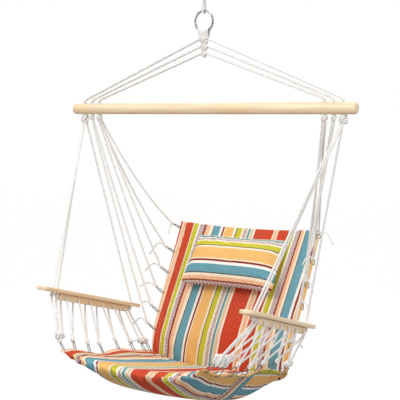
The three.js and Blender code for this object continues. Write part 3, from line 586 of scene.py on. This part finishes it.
def addLink(name, place):
    # two straights and two half circles of wire
    bend = (link["width"] - link["wire"]) / 2
    straight = link["length"] - link["width"]
    turn = np.linspace(0, np.pi, 15)
    across = np.concatenate([bend * np.cos(turn), -bend * np.cos(turn)])
    reach = np.concatenate([straight + bend * np.sin(turn), -bend * np.sin(turn)])
    path = place["foot"] + place["wide"] * across[:, None] + place["way"] * reach[:, None]
    path = evenPath(np.vstack([path, path[:1]]), 0.0016)[:-1]
    addPiece(name, tube(path, link["wire"] / 2, 10, closed=True), "chair", "link")


def boardFrame(side):
    front = pt(side * board["front"][0], *board["front"][1:])
    back = unit(pt(side * board["rear"][0], *board["rear"][1:]) - front)
    level = unit(np.cross(back, pt(0, 0, 1)))
    up = unit(np.cross(level, back))
    return front, back, up, level * np.sign(side * level[0])


def onBoard(side, back, up, outward=0.0):
    # a point of the armrest: back along the board, up from its top face, and outwards
    front, backway, upway, outway = boardFrame(side)
    return front + backway * back + upway * up + outway * outward


def laceBack(i):
    return rail["middle"] + (i - (rail["holes"] - 1) / 2) * rail["pitch"]


def inBore(side, row, z):
    return pt(side * (bar["bore"] - row * bar["pitch"]), 0, z)


def knotCentre(side, row):
    return inBore(side, row, -bar["size"] / 2 - gap - bar["knotHeights"][row] / 2)


def knotExit(side, row, x, y):
    # where a strand leaves the knot under the bar, in a corner of a square round its middle
    lift = bar["socket"] - bar["knotHeights"][row] / 2
    return knotCentre(side, row) + pt(side * x * rope["strandOffset"], y * rope["strandOffset"], lift)


def seatLinkTarget(side, i):
    if i == 0:
        return onBoard(side, boardHoles[0], -board["width"])
    if i > rail["holes"]:
        return onBoard(side, boardHoles[2], -board["width"])
    foot = railTop - rail["height"]
    a = onBoard(side, laceBack(i - 1), foot)
    b = onBoard(side, laceBack(min(i, rail["holes"] - 1)), foot)
    return (a + b) / 2


def sagging(a, b, sag, count=25):
    # a line between two ends, lowered by 4 * sag * s * (1 - s)
    s = np.linspace(0, 1, count)[:, None]
    return a + (b - a) * s - pt(0, 0, 4 * sag) * s * (1 - s)


# ---- hanging rope, ring and hitch

print("hanging rope")
hanging = {"size": 0.0065, "loopWidth": 0.030, "loopHeight": 0.044, "knotWidth": 0.021,
           "knotHeight": 0.030, "spread": 0.0074, "wraps": 4.2, "drawn": 0.6, "play": 0.0005,
           "step": 0.0022}
ring = {"height": 0.256, "radius": 0.031, "wire": 0.006}


def makeHangingRope():
    half = hanging["size"] / 2
    loopTop = -barZ + half
    knotTop = loopTop - hanging["loopHeight"]
    knotFoot = knotTop - hanging["knotHeight"]
    turn = np.linspace(0, 2 * np.pi, 61)
    swing = np.sin(turn / 2) ** 2
    across = hanging["loopWidth"] / 2 * np.sin(turn) * np.sqrt(swing)
    across = across + hanging["spread"] / 2 * np.cos(turn / 2) ** 3
    lift = half * (1 - swing) * 0.5 + gap + (hanging["loopHeight"] - gap) * swing
    loop = np.column_stack([0 * turn, across, knotTop + lift])
    loopPiece = addPiece("hangingLoop", ropeAlong(loop, half), "hanger", "rope")

    t = np.linspace(0, 1, 110)
    turns = 2 * np.pi * hanging["wraps"] * t
    out = hanging["knotWidth"] / 2 - half
    coil = np.column_stack([out * np.cos(turns), out * np.sin(turns),
                            knotFoot + half + (hanging["knotHeight"] - 2 * half) * t])
    shapes = [ropeAlong(coil, half, smooth=False)]
    z = np.linspace(knotFoot + 0.002, knotTop - 0.002, 12)
    for end in (-1, 1):
        y = end * hanging["spread"] / 2 * hanging["drawn"]
        shapes.append(ropeAlong(upright(0, y, z), half, smooth=False))
    knotPiece = addPiece("hangingKnot", together(shapes), "hanger", "rope")

    wireTop = ring["height"] + ring["radius"]
    bight = (ring["wire"] + hanging["size"]) / 2 + hanging["play"]
    top = knotFoot - hanging["play"]
    y = hanging["spread"] / 2
    route = [[0, y, top], [0, y, top - hanging["size"]], [0, bight, wireTop + bight]]
    route += [[0, bight * math.cos(a), wireTop - bight * math.sin(a)] for a in np.linspace(0, np.pi, 9)]
    route += [[0, -bight, wireTop + bight], [0, -y, top - hanging["size"]], [0, -y, top]]
    path = smoothPath(np.array(route), hanging["step"])
    piece = addPiece("hangingRope", tube(path, half, 12, twist=lay), "rope", "rope")
    float(distances(path)[-1])


def makeRing():
    turn = 2 * np.pi * np.arange(96) / 96
    path = np.column_stack([ring["radius"] * np.cos(turn), 0 * turn,
                            ring["height"] + ring["radius"] * np.sin(turn)])
    addPiece("ring", tube(path, ring["wire"] / 2, 20, closed=True), "ring", "ring", "steel_ring")


hitch = {"ropes": 6, "pitch": 0.0059, "heights": (0.203, 0.182, 0.162), "widths": (0.034, 0.026, 0.019),
         "depth": 0.017, "height": 0.024, "knotRadius": 0.0027, "gather": 0.82, "bend": 0.016,
         "pairSpread": 0.0044, "play": 0.0004, "stagger": 0.0005, "spin": 0.7}


def makeHitch():
    shapes = []
    for row, height in enumerate(hitch["heights"]):
        shapes.append(knot(pt(0, 0, height), pt(0, 0, 1), hitch["widths"][row], hitch["height"],
                           hitch["knotRadius"], hitch["depth"], hitch["spin"] * row))
    bend = (ring["wire"] + 2 * rope["radius"]) / 2 + hitch["play"]
    turn = np.linspace(0, np.pi, 9)
    for i in range(hitch["ropes"]):
        x = (i - (hitch["ropes"] - 1) / 2) * hitch["pitch"]
        wire = ring["height"] - math.sqrt(ring["radius"] ** 2 - x * x)
        foot = pt(x * hitch["gather"], 0, hitch["heights"][0])
        over = np.column_stack([0 * turn + x, -bend * np.cos(turn), wire + bend * np.sin(turn)])
        spread = pt(0, hitch["depth"] / 4, 0)
        shapes.append(ropeAlong(np.vstack([foot - spread, over, foot + spread])))
    addPiece("ringHitch", together(shapes), "fan", "rope")


def makeFan():
    for row, place in enumerate(["outer", "middle", "inner"]):
        for name, side in sides.items():
            start = pt(side * (hitch["widths"][row] / 2 - bar["socket"]), 0,
                       hitch["heights"][row] + bar["socket"] / 2 - hitch["stagger"] * row)
            end = inBore(side, row, bar["size"] / 2 + gap + rope["radius"] / 2)
            bendTop = end + pt(0, 0, hitch["bend"] / 2)
            bendStart = bendTop + unit(start - bendTop) * hitch["bend"]
            t = np.linspace(0, 1, 7)[:, None]
            above = end + pt(0, 0, hitch["stagger"])
            bend = bendStart * (1 - t) ** 2 + 2 * bendTop * t * (1 - t) + above * t * t
            line = np.vstack([start, (start * 2 + bendStart) / 3, (start + 2 * bendStart) / 3, bend, end])
            pair = [ropeAlong(line + pt(0, s * hitch["pairSpread"] / 2, 0)) for s in (-1, 1)]
            addPiece(f"fanRope_{name}_{place}", together(pair), "fan", "rope")


makeHangingRope()
makeRing()
print("hitch and fan")
makeHitch()
makeFan()

# ---- wood

print("wood")


def bored(piece, cuts, grainOrigin, basis):
    # cuts round holes through a piece, each given as (centre, direction, diameter, length), and
    # writes the wood's own coordinates: along the board, across it and up from it
    shapes = []
    for centre, way, size, length in cuts:
        shapes.append(lathed([(size / 2, -length / 2), (size / 2, length / 2)], way, 28))
        shapes[-1]["points"] += centre + pt(0, 0, barZ)
    shape = together(shapes)
    cutter = newObject("cutter", shape["points"], shape["faces"])
    faceOutwards(cutter.data)
    cut = piece.modifiers.new("holes", "BOOLEAN")
    cut.operation = "DIFFERENCE"
    cut.solver = "EXACT"
    cut.object = cutter
    graph = bpy.context.evaluated_depsgraph_get()
    mesh = bpy.data.meshes.new_from_object(piece.evaluated_get(graph))
    piece.modifiers.clear()
    piece.data = mesh
    bpy.data.objects.remove(cutter)
    mesh.set_sharp_from_angle(angle=math.radians(35))
    grain = (pointsOf(mesh) - grainOrigin) @ basis.T
    layer = mesh.attributes.get("weave") or mesh.attributes.new("weave", "FLOAT_VECTOR", "POINT")
    layer.data.foreach_set("vector", grain.ravel())


def makeBar():
    edge = bar["size"] / 4
    turn = np.linspace(0, np.pi / 2, 10)
    end = np.column_stack([bar["size"] / 2 - edge + edge * np.sin(turn),
                           -bar["length"] / 2 + edge * (1 - np.cos(turn))])
    middle = np.column_stack([np.full(38, bar["size"] / 2), np.linspace(-0.49, 0.49, 38)])
    shape = lathed(np.vstack([end, middle, (end * [1, -1])[::-1]]), pt(1, 0, 0), 64)
    holes = [(inBore(side, row, 0), pt(0, 0, 1), bar["hole"], 0.06)
             for side in sides.values() for row in range(3)]
    bored(addPiece("spreaderBar", shape, "chair", "wood"), holes, pt(0.21, 0.004, barZ - 0.013), np.eye(3))


def plank(length, width, height, edge):
    # a flat bar with round ends: outline points move from its middle line to its rim and back
    # while the height goes from the top to the underside over a rounded edge
    half = width / 2
    arc = np.linspace(-np.pi / 2, np.pi / 2, 25)
    straight = np.linspace(half, length - half, 40)[1:-1]
    x = np.concatenate([length - half + half * np.cos(arc), straight[::-1], half - half * np.cos(arc),
                        straight])
    y = np.concatenate([half * np.sin(arc), np.full(38, half), -half * np.sin(arc), np.full(38, -half)])
    spine = np.clip(x, half, length - half)
    turn = np.linspace(0, np.pi / 2, 6)
    rimIn = np.concatenate([edge * (1 - np.sin(turn)), edge * (1 - np.cos(turn))])
    rimUp = np.concatenate([height - edge * (1 - np.cos(turn)), edge * (1 - np.sin(turn))])
    share = np.concatenate([[0.0], 1 - rimIn / half, [0.0]])[:, None]
    level = np.concatenate([[height], rimUp, [0.0]])[:, None]
    points = np.stack(np.broadcast_arrays(spine + (x - spine) * share, y * share, level), -1)
    faces = grid(len(share), len(x))[:, [0, 3, 2, 1]].tolist()
    return {"points": points.reshape(-1, 3), "faces": faces, "shade": np.zeros(points.size // 3)}


def makeArmrest(name, side):
    _, backway, up, outward = boardFrame(side)
    basis = np.stack([backway, np.cross(up, backway), up])
    below = -board["thick"]
    origin = onBoard(side, 0, below)
    shape = plank(board["length"], board["width"], board["thick"], board["edge"])
    shape["points"] = shape["points"] @ basis + origin
    holes = [(onBoard(side, back, below / 2), up, board["hole"], 0.04) for back in boardHoles]
    bored(addPiece("armrestBoard_" + name, shape, "chair", "wood"), holes,
          origin + pt(0, 0, barZ) + up * 0.02 + outward * 0.01, basis)

    origin = onBoard(side, rail["middle"] - rail["length"] / 2, railTop - rail["height"])
    shape = plank(rail["length"], rail["thick"], rail["height"], rail["edge"])
    shape["points"] = shape["points"] @ basis + origin
    holes = [(onBoard(side, laceBack(i), laceUp), outward, rail["hole"], 0.03)
             for i in range(rail["holes"])]
    bored(addPiece("armrestRail_" + name, shape, "chair", "wood"), holes,
          origin + pt(0.4, 0, barZ) - up * 0.03, basis)


makeBar()
for name, side in sides.items():
    makeArmrest(name, side)

# ---- ropes of the chair, its links and the lacing

print("ropes and links")
stub = {"radius": 0.0029, "offset": 0.0021, "short": 0.0005}
strand = {"over": 0.0058, "apart": 0.0029}


def barKnot(side, row):
    # the knot under a bore of the bar, and the ropes that fill the bore above it
    centre = knotCentre(side, row)
    z = np.linspace(centre[2], bar["size"] / 2 - stub["short"], 22)
    shapes = [knot(centre, pt(0, 0, 1), bar["knotWidths"][row], bar["knotHeights"][row], spin=row + side)]
    for s in (-1, 1):
        shapes.append(ropeAlong(upright(centre[0], s * stub["offset"], z), stub["radius"], smooth=False))
    return shapes


# The loose end of each rope to the back, from its knot: how far outwards and how far up, twice
tails = {
    "left": [(0.006, -0.012, 0.007, -0.034), (0.026, 0.010, 0.060, -0.028), (0.024, 0.010, 0.058, -0.016),
             (0.024, 0.010, 0.060, -0.006), (0.018, 0.010, 0.034, 0.004), (0.022, 0.012, 0.050, -0.008)],
    "right": [(0.028, 0.004, 0.054, -0.030), (-0.014, 0.006, -0.030, -0.020), (0.016, -0.006, 0.024, -0.036),
              (0.018, -0.004, 0.034, -0.022), (0.012, -0.006, 0.016, -0.026), (0.020, 0.002, 0.042, -0.012)],
}
tailRadius = 0.0026
# The knots at the front corner of each side, as width and height, and how far the first hangs down
gathers = {"left": {"knot": (0.023, 0.024), "start": (0.016, 0.018), "drop": 0.0},
           "right": {"knot": (0.034, 0.034), "start": (0.029, 0.026), "drop": 0.010}}
cluster = {"width": 0.024, "longer": 0.016}


def tail(start, name, i):
    # a loose end that arches away from its knot and hangs
    out, up, farOut, farUp = tails[name][i]
    side = sides[name]
    return ropeAlong([start, start + pt(side * out, -0.004, up), start + pt(side * farOut, -0.010, farUp)],
                     tailRadius)


def makeOuterRope(name, side, links, gather):
    front, last = links[0], links[-1]
    size = board["knot"]
    shapes = barKnot(side, 0)
    shapes += [knot(pastLink(front, size[1]), front["way"], *size, spin=1.0),
               knot(gather, pt(0, 0, 1), *gathers[name]["knot"], spin=0.4)]
    rearKnot = pastLink(last, rearEnd[1])
    apart = pt(0, strand["apart"], 0)
    strands = [(knotExit(side, 0, -1, -1), gather - apart), (knotExit(side, 0, 1, -1), gather + apart),
               (knotExit(side, 0, -1, 1), rearKnot)]
    for i, (start, onward) in enumerate(strands):
        over, middle, under = [onBoard(side, boardHoles[i], up) for up in
                               (strand["over"], railTop - size[1] / 2, railTop - size[1])]
        shapes += [ropeAlong([start, over], smooth=False),
                   ropeAlong([over, under, (under + onward) / 2, onward]),
                   knot(middle, boardFrame(side)[2], *size, spin=i)]
    shapes.append(knot(rearKnot, last["way"], *rearEnd))
    before = links[-2]["top"] + links[-2]["way"] * rail["knot"][1] / 2
    shapes.append(knot((before + rearKnot) / 2, rearKnot - before, cluster["width"],
                       np.linalg.norm(rearKnot - before) + cluster["longer"], spin=0.8))
    loose = [pt(0, 0, 0), pt(0, -0.024, 0.006), pt(side * 0.01, -0.046, -0.008)]
    shapes.append(ropeAlong(before + loose, tailRadius))
    addPiece("armrestRope_" + name, together(shapes), "chair", "rope")


def makeLacing(name, side, links, gather):
    ends = [pastLink(place, rail["knot"][1]) for place in links[1:-1]]
    start = gathers[name]["start"]
    last = gather + pt(0, (gathers[name]["knot"][0] + start[0]) / 2 - 0.001, -0.003)
    shapes = [knot(last, pt(0, 0, 1), *start)]
    skin = (rail["thick"] + rail["lace"]) / 2 + 0.0005
    turn = rail["lace"] * 0.45
    for i, end in enumerate(ends):
        corners = [(railTop - rail["height"] - 0.0005, skin), (laceUp - turn, skin), (laceUp, skin - turn),
                   (laceUp, turn - skin), (laceUp - turn, -skin)]
        route = [last] + [onBoard(side, laceBack(i), *corner) for corner in corners] + [end]
        shapes.append(ropeAlong(route, rail["laceRadius"]))
        shapes.append(knot(end, links[i + 1]["way"], *rail["knot"], rail["lace"] / 2, spin=i))
        last = end
    addPiece("armrestLacing_" + name, together(shapes), "chair", "rope")


def makeBackRopes(name, side):
    bundles = {1: barKnot(side, 1), 2: barKnot(side, 2)}
    for i, rise in enumerate(backLinks):
        row, x, y = backStarts[i]
        start = knotExit(side, row, -x, y)
        point = backPoint(rise, side * linkEdge)
        sag = backSags[i] * np.linalg.norm(start - point)
        place = linkPlace(backPoint, rise, side, (point + start) / 2 - pt(0, 0, 2 * sag))
        end = pastLink(place, endKnot[1])
        bundles[row] += [ropeAlong(sagging(start, end, sag), smooth=False),
                         knot(end, place["way"], *endKnot, spin=i), tail(end, name, i)]
        addLink(f"backLink_{name}_{i + 1}", place)
    addPiece("lowerBackRope_" + name, together(bundles[1]), "chair", "rope")
    addPiece("upperBackRope_" + name, together(bundles[2]), "chair", "rope")


for name, side in sides.items():
    seatPlaces = []
    for i, run in enumerate(seatLinks):
        seatPlaces.append(linkPlace(seatPoint, run, side, seatLinkTarget(side, i)))
        addLink(f"seatLink_{name}_{i + 1}", seatPlaces[i])
    lift = pt(0, 0, 1) * 0.55 + seatPlaces[0]["way"] * 0.45
    gather = pastLink(seatPlaces[0], board["knot"][1]) - pt(0, 0, gathers[name]["drop"])
    gather = gather + lift * (board["knot"][1] + board["gatherHeight"]) * 0.45
    makeOuterRope(name, side, seatPlaces, gather)
    makeLacing(name, side, seatPlaces, gather)
    makeBackRopes(name, side)

# ---- cloth

print("sling")


def skinned(over, under, weave, weaveBelow=None):
    # two grids of points, joined round their rims
    rows, columns = over.shape[:2]
    count = rows * columns
    upper = grid(rows, columns, closedColumns=False)
    left = np.arange(rows - 1) * columns
    right = left + columns - 1
    near = np.arange(columns - 1)
    far = near + (rows - 1) * columns
    rims = [np.stack([left, left + columns, left + columns + count, left + count], -1),
            np.stack([right, right + count, right + columns + count, right + columns], -1),
            np.stack([near, near + count, near + 1 + count, near + 1], -1),
            np.stack([far, far + 1, far + 1 + count, far + count], -1)]
    faces = np.vstack([upper, upper[:, ::-1] + count] + rims).tolist()
    weaves = [np.stack(np.broadcast_arrays(*w), -1).reshape(-1, 3) for w in (weave, weaveBelow or weave)]
    return {"points": np.vstack([over.reshape(-1, 3), under.reshape(-1, 3)]), "faces": faces,
            "shade": np.zeros(2 * count), "sure": True, "weave": np.vstack(weaves)}


def lengthsAlong(points, axis):
    # millimetres along a grid of points, from its first row or column
    steps = np.linalg.norm(np.diff(points, axis=axis), axis=-1) * 1000
    return np.insert(np.cumsum(steps, axis=axis), 0, 0, axis=axis)


# How far the stripes of the seat's underside move out to its right hem, and where they start to
under = {"shift": 22.0, "from": 0.2, "over": 0.6, "run": 0.1}
fold = {"over": (9, 0.3), "under": (2, 0.5), "least": 0.02}
spacing = {"even": 0.7, "dense": 0.3}
creaseSlant = 0.066


def clothGrid(surface, runs, columns, pad, roll, marks, creases, near, fill=0.0):
    # two skins either side of a surface, rounded over the first part of the run where it is
    # folded; weave holds the place on the striped cloth and the distance from the hem, in mm
    run = runs[:, None]
    a = (spacing["even"] * np.linspace(-1, 1, columns) + spacing["dense"] * endsDense(columns))[None, :]
    point, _, _, normal = surfaceFrame(surface, run, a)
    half = halfPad(a * np.ones_like(run), pad)
    upper, lower = half, half
    if roll:
        inward = 1 - np.clip(run / roll, 0, 1)[..., None]
        upper, lower = [half * np.maximum(fold["least"], 1 - inward ** power) ** root
                        for power, root in (fold["over"], fold["under"])]
    for place, width, depth, long in creases:
        off = (point[..., 0] - place - creaseSlant * run) / width
        point = point - pt(0, 0, 1) * (depth * np.exp(-off ** 2 - (run / long) ** 2))[..., None]
    x = point[..., 0] * 1000
    across = lengthsAlong(point, 1)
    across = across - across[:, columns // 2 - 1:columns // 2 + 1].mean(1, keepdims=True)
    c = stripePlace(marks, x + cloth["drift"] * (1 - a ** 6) * near[:, None], run)
    onward = lengthsAlong(point, 0)
    edge = (1 - np.abs(a)) * seat["half"] * 1000
    below = c + across - x
    if fill:
        outwards = np.clip((a - under["from"]) / under["over"], 0, 1)
        below = below + under["shift"] * outwards * (1 - np.exp(-run / under["run"]))
    loft = pt(0, 0, 1) * (fill * bucket(run, a))[..., None]
    return skinned(point + normal * upper + loft, point - normal * lower, (c, onward, edge),
                   (below, onward, edge))


swell = {"quality": 5, "mass": 0.15, "moments": 20, "pressure": 2.0, "grow": 0.02}


def puff(piece, free, cap, pressure=swell["pressure"], grow=swell["grow"]):
    # swells a closed piece by Cloth with pressure and no gravity; a point moves by at most its cap
    start = pointsOf(piece.data)
    group = piece.vertex_groups.new(name="held")
    group.add([int(i) for i in np.flatnonzero(free < 0.5)], 1.0, "REPLACE")
    swelling = piece.modifiers.new("swell", "CLOTH")
    swelling.settings.quality = swell["quality"]
    swelling.settings.mass = swell["mass"]
    swelling.settings.use_pressure = True
    swelling.settings.uniform_pressure_force = pressure
    swelling.settings.shrink_min = -grow
    swelling.settings.vertex_group_mass = "held"
    swelling.settings.effector_weights.gravity = 0.0
    swelling.collision_settings.use_collision = False
    scene = bpy.context.scene
    for moment in range(1, swell["moments"] + 1):
        scene.frame_set(moment)
    graph = bpy.context.evaluated_depsgraph_get()
    move = pointsOf(piece.evaluated_get(graph).data) - start
    far = np.linalg.norm(move, axis=1)
    share = np.where(far > 1e-9, cap * np.tanh(far / cap) / np.maximum(far, 1e-9), 0.0)
    piece.modifiers.remove(swelling)
    scene.frame_set(1)
    piece.data.vertices.foreach_set("co", (start + move * share[:, None]).ravel())
    piece.data.update()
    print(piece.name, "moved by up to", round(float((far * share).max()) * 1000, 1), "mm")


def pad(piece, fill):
    fine = piece.modifiers.new("fine", "SUBSURF")
    fine.levels = fine.render_levels = 1


# Where the stripes' edges lie across the sling, in millimetres from its middle, at some heights of
# the back, at the seam and at the seat's front edge
stripeMarks = [20, 60, 67, 87, 108, 135, 163, 182, 222, 231, 250, 271, 296, 358, 375.6, 415.6, 422.6, 442.6,
               463.6, 490.6, 518.6, 537.6, 577.6]
backMarks = {
    0.08: [-245, -218, -213, -198, -183, -154, -124, -110, -70, -62, -44, -22, 5, 66, 92, 120, 130, 147, 168,
           194, 220, 238, 272],
    0.41: [-241, -212, -209, -196, -179, -142, -117, -98, -62, -52, -35, -15, 11, 71, 95, 124, 135, 151, 172,
           198, 223, 240, 276],
    0.96: [-233, -202, -199, -182, -158, -120, -95, -77, -46, -32, -14, 9, 33, 101, 118, 152, 158, 174, 192,
           213, 240, 256, 290],
}
seatMarks = {
    0.0: [-236, -205, -200, -196, -190, -160, -132, -115, -77, -68, -50, -28, 3, 60, 80, 116, 121, 140, 162,
          194, 222, 241, 281],
    1.0: [-234, -216, -212, -209, -194, -160, -126] + backMarks[0.08][7:],
}


def stripePlace(marks, x, level):
    # the place in the cloth's repeat of each point, from the marks at the heights next to its own
    heights = np.array(sorted(marks))
    places = np.zeros_like(x)
    for row in range(len(x)):
        at = float(level[row, 0])
        line = [np.interp(at, heights, [marks[h][k] for h in heights]) for k in range(len(stripeMarks))]
        first = stripeMarks[0] - (line[0] - x[row])
        last = stripeMarks[-1] + (x[row] - line[-1])
        inside = np.interp(x[row], line, stripeMarks)
        places[row] = np.where(x[row] < line[0], first, np.where(x[row] > line[-1], last, inside))
    return places


# Each crease of the front edge: its place from the middle, its width, depth and length in run
frontCreases = [(-0.212, 0.005, 0.004, 0.05), (-0.188, 0.005, 0.006, 0.06), (-0.150, 0.005, 0.003, 0.04),
                (-0.108, 0.005, 0.006, 0.06), (-0.075, 0.005, 0.003, 0.04), (-0.043, 0.005, 0.006, 0.05),
                (-0.004, 0.005, 0.003, 0.04), (0.037, 0.005, 0.007, 0.06), (0.078, 0.005, 0.007, 0.06),
                (0.115, 0.005, 0.004, 0.05), (0.151, 0.006, 0.008, 0.07), (0.192, 0.006, 0.005, 0.06)]
strap = {"starts": 0.458, "ends": 0.612, "thick": 0.0024, "clear": 0.0005, "reach": 0.975, "crown": 0.0008,
         "stripe": 96, "stripes": 68, "edge": 40}
sewnWithin = 19  # the cloth this near its hem, in millimetres, is held while the rest swells
caps = {"top": 0.004, "under": 0.002, "strap": 0.0002, "beside": 0.03}


def addPanel(name, shape, held, columns, cap, fill):
    # held says which rows of the grid stay where they are, like the hem
    piece = addPiece(name, shape, "chair", "cloth")
    puff(piece, (shape["weave"][:, 2] > sewnWithin) & ~np.tile(np.repeat(held, columns), 2), cap)
    pad(piece, fill)


def makePanels():
    rows, columns = 84, 100
    runs = np.linspace(-back["allowance"] / back["height"], 1.0, rows)
    shape = clothGrid(backPoint, runs, columns, back["pad"], 0, backMarks, [], (1 - runs) ** 3)
    addPanel("backPanel", shape, np.arange(rows) <= 3, columns, caps["top"], 0.35)

    rows, columns = 92, 150
    even = np.linspace(0, 1, rows)
    runs = 0.985 * (0.6 * even + 0.4 * even ** 2)
    shape = clothGrid(seatPoint, runs, columns, seat["pad"], 0.022, seatMarks, frontCreases, runs ** 3,
                      seat["fill"])
    near = (runs > strap["starts"] - caps["beside"]) & (runs < strap["ends"] + caps["beside"])
    cap = np.repeat(np.where(near, caps["strap"], caps["under"]), columns)
    cap = np.concatenate([np.full(rows * columns, caps["top"]), cap])
    addPanel("seatPanel", shape, np.arange(rows) >= rows - 3, columns, cap, 0.4)


def makeStrap():
    # a strip across the underside of the seat, with stripes along its length
    a = endsDense(140)[None, :] * strap["reach"]
    run = np.linspace(strap["starts"], strap["ends"], 24)[:, None]
    point, _, _, normal = surfaceFrame(seatPoint, run, a)
    place = (run - strap["starts"]) / (strap["ends"] - strap["starts"])
    bulge = strap["crown"] * (1 - (2 * place - 1) ** 2)[..., None]
    over = point - normal * (halfPad(a, seat["pad"]) + strap["clear"])
    lower = over - normal * (strap["thick"] - strap["crown"] + bulge)
    weave = (strap["stripe"] + strap["stripes"] * place, lengthsAlong(point, 1), strap["edge"])
    addPiece("seatStrap", skinned(over, lower, weave), "chair", "cloth")


makePanels()
makeStrap()

# ---- pillow

print("pillow")
pillow = {"width": 0.334, "length": 0.185, "rise": 0.03268, "dip": 0.0108, "belly": 0.012,
          "edge": 0.005, "drawIn": 0.007, "clear": 0.0012, "top": 0.905, "foot": 0.54, "lift": 0.036,
          "tuck": 0.34, "centre": 195.0, "round": 0.03, "held": 4, "hem": 9, "caps": (0.006, 0.0015),
          "pressure": 3.0, "grow": 0.03}


def makePillow():
    # two crowned skins, crown = sqrt((1 - u ^ 4)(1 - v ^ 2)), whose sides draw in between the
    # corners; the stripes follow the length of cloth over the crown
    top = surfaceFrame(backPoint, pillow["top"], 0.0)[0]
    foot, _, _, out = surfaceFrame(backPoint, pillow["foot"], 0.0)
    down = unit(foot + out * pillow["lift"] - top)
    forward = unit(np.cross(down, pt(1, 0, 0)))
    reach = (back["pad"] + pillow["edge"]) / 2 + pillow["belly"] + pillow["clear"]
    seam = top + forward * (reach - pillow["lift"] * pillow["tuck"])
    rows, columns = 60, 100
    v, u = endsDense(rows)[:, None], endsDense(columns)[None, :]
    crown = np.sqrt(np.maximum(0, (1 - u ** 4) * (1 - v ** 2)))
    x = (pillow["width"] / 2 - pillow["drawIn"] * (1 - v ** 2)) * u * (1 - pillow["round"] * v ** 10)
    slide = (pillow["length"] / 2 - pillow["drawIn"] * (1 - u ** 2)) * v
    slide = slide * (1 - 2 * pillow["round"] * u ** 10) + pillow["length"] / 2
    base = seam + down * slide[..., None] + pt(1, 0, 0) * x[..., None]
    over, lower = [base + forward * (sign * pillow["edge"] / 2 + rise * crown)[..., None]
                   for sign, rise in ((1, pillow["rise"]), (-1, -pillow["dip"]))]
    length = lengthsAlong(over, 0)
    across = pillow["centre"] - (length - length[-1:] / 2)
    rim = np.minimum(pillow["width"] / 2 * (1 - np.abs(u)), pillow["length"] / 2 * (1 - np.abs(v))) * 1000
    shape = skinned(over, lower, (across, x * 1000, rim + pillow["hem"]))
    shape["faces"] = [face[::-1] for face in shape["faces"]]
    piece = addPiece("pillow", shape, "pillow", "pillow")
    free = np.tile((rim > pillow["held"]).ravel(), 2)
    puff(piece, free, np.repeat(pillow["caps"], rows * columns), pillow["pressure"], pillow["grow"])
    pad(piece, 0.7)


makePillow()

# ---- screws keep their solid

for node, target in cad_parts.items():
    if node.startswith("rail_screw"):
        target.data.materials.clear()
        target.data.materials.append(ringSteel)

# ---- floor and light

print("light")
studio = {"floor": -1.9, "half": 14.0, "world": 0.67, "key": 57.0, "fill": 25.0, "top": 27.0, "shine": 1.3,
          "aim": (0, 0, -0.8)}


def makeStage():
    # the camera sees a floor and a sky that are brighter than the light they give
    corners = [(x * studio["half"], y * studio["half"], studio["floor"])
               for x, y in ((-1, -1), (1, -1), (1, 1), (-1, 1))]
    floor = newObject("floor", corners, [(0, 1, 2, 3)])
    look = Finish(bpy.data.materials.new("paleFloor"))
    ground = look.surface({"Roughness": 0.9, "Base Color": linear(160, 160, 160)})
    shine = look.add("Emission", {"Color": white, "Strength": studio["shine"]})
    look.seen(ground, shine, 0.7, "Material Output")
    floor.data.materials.append(look.owner)

    bpy.context.scene.world = bpy.data.worlds.new("studio")
    look = Finish(bpy.context.scene.world)
    sky = look.put(look.nodes["Background"], {"Color": white, "Strength": studio["world"]})
    look.seen(sky, look.add("Background", {"Color": white, "Strength": 1.0}), 1.0, "World Output")


def addLamp(name, place, size):
    data = bpy.data.lights.new(name, "AREA")
    data.shape = "DISK"
    data.size = size
    data.energy = studio[name]
    lamp = bpy.data.objects.new(name, data)
    way = unit(np.array(studio["aim"]) - np.array(place))
    lamp.location = place
    lamp.rotation_euler = (math.acos(-way[2]), 0, math.atan2(way[0], -way[1]) + math.pi)
    bpy.context.scene.collection.objects.link(lamp)


makeStage()
addLamp("key", (-0.6, -3.0, 1.6), 1.6)
addLamp("fill", (2.8, -1.6, 0.4), 2.0)
addLamp("top", (0.2, 0.4, 2.2), 2.0)
bpy.context.scene.view_settings.view_transform = "Standard"
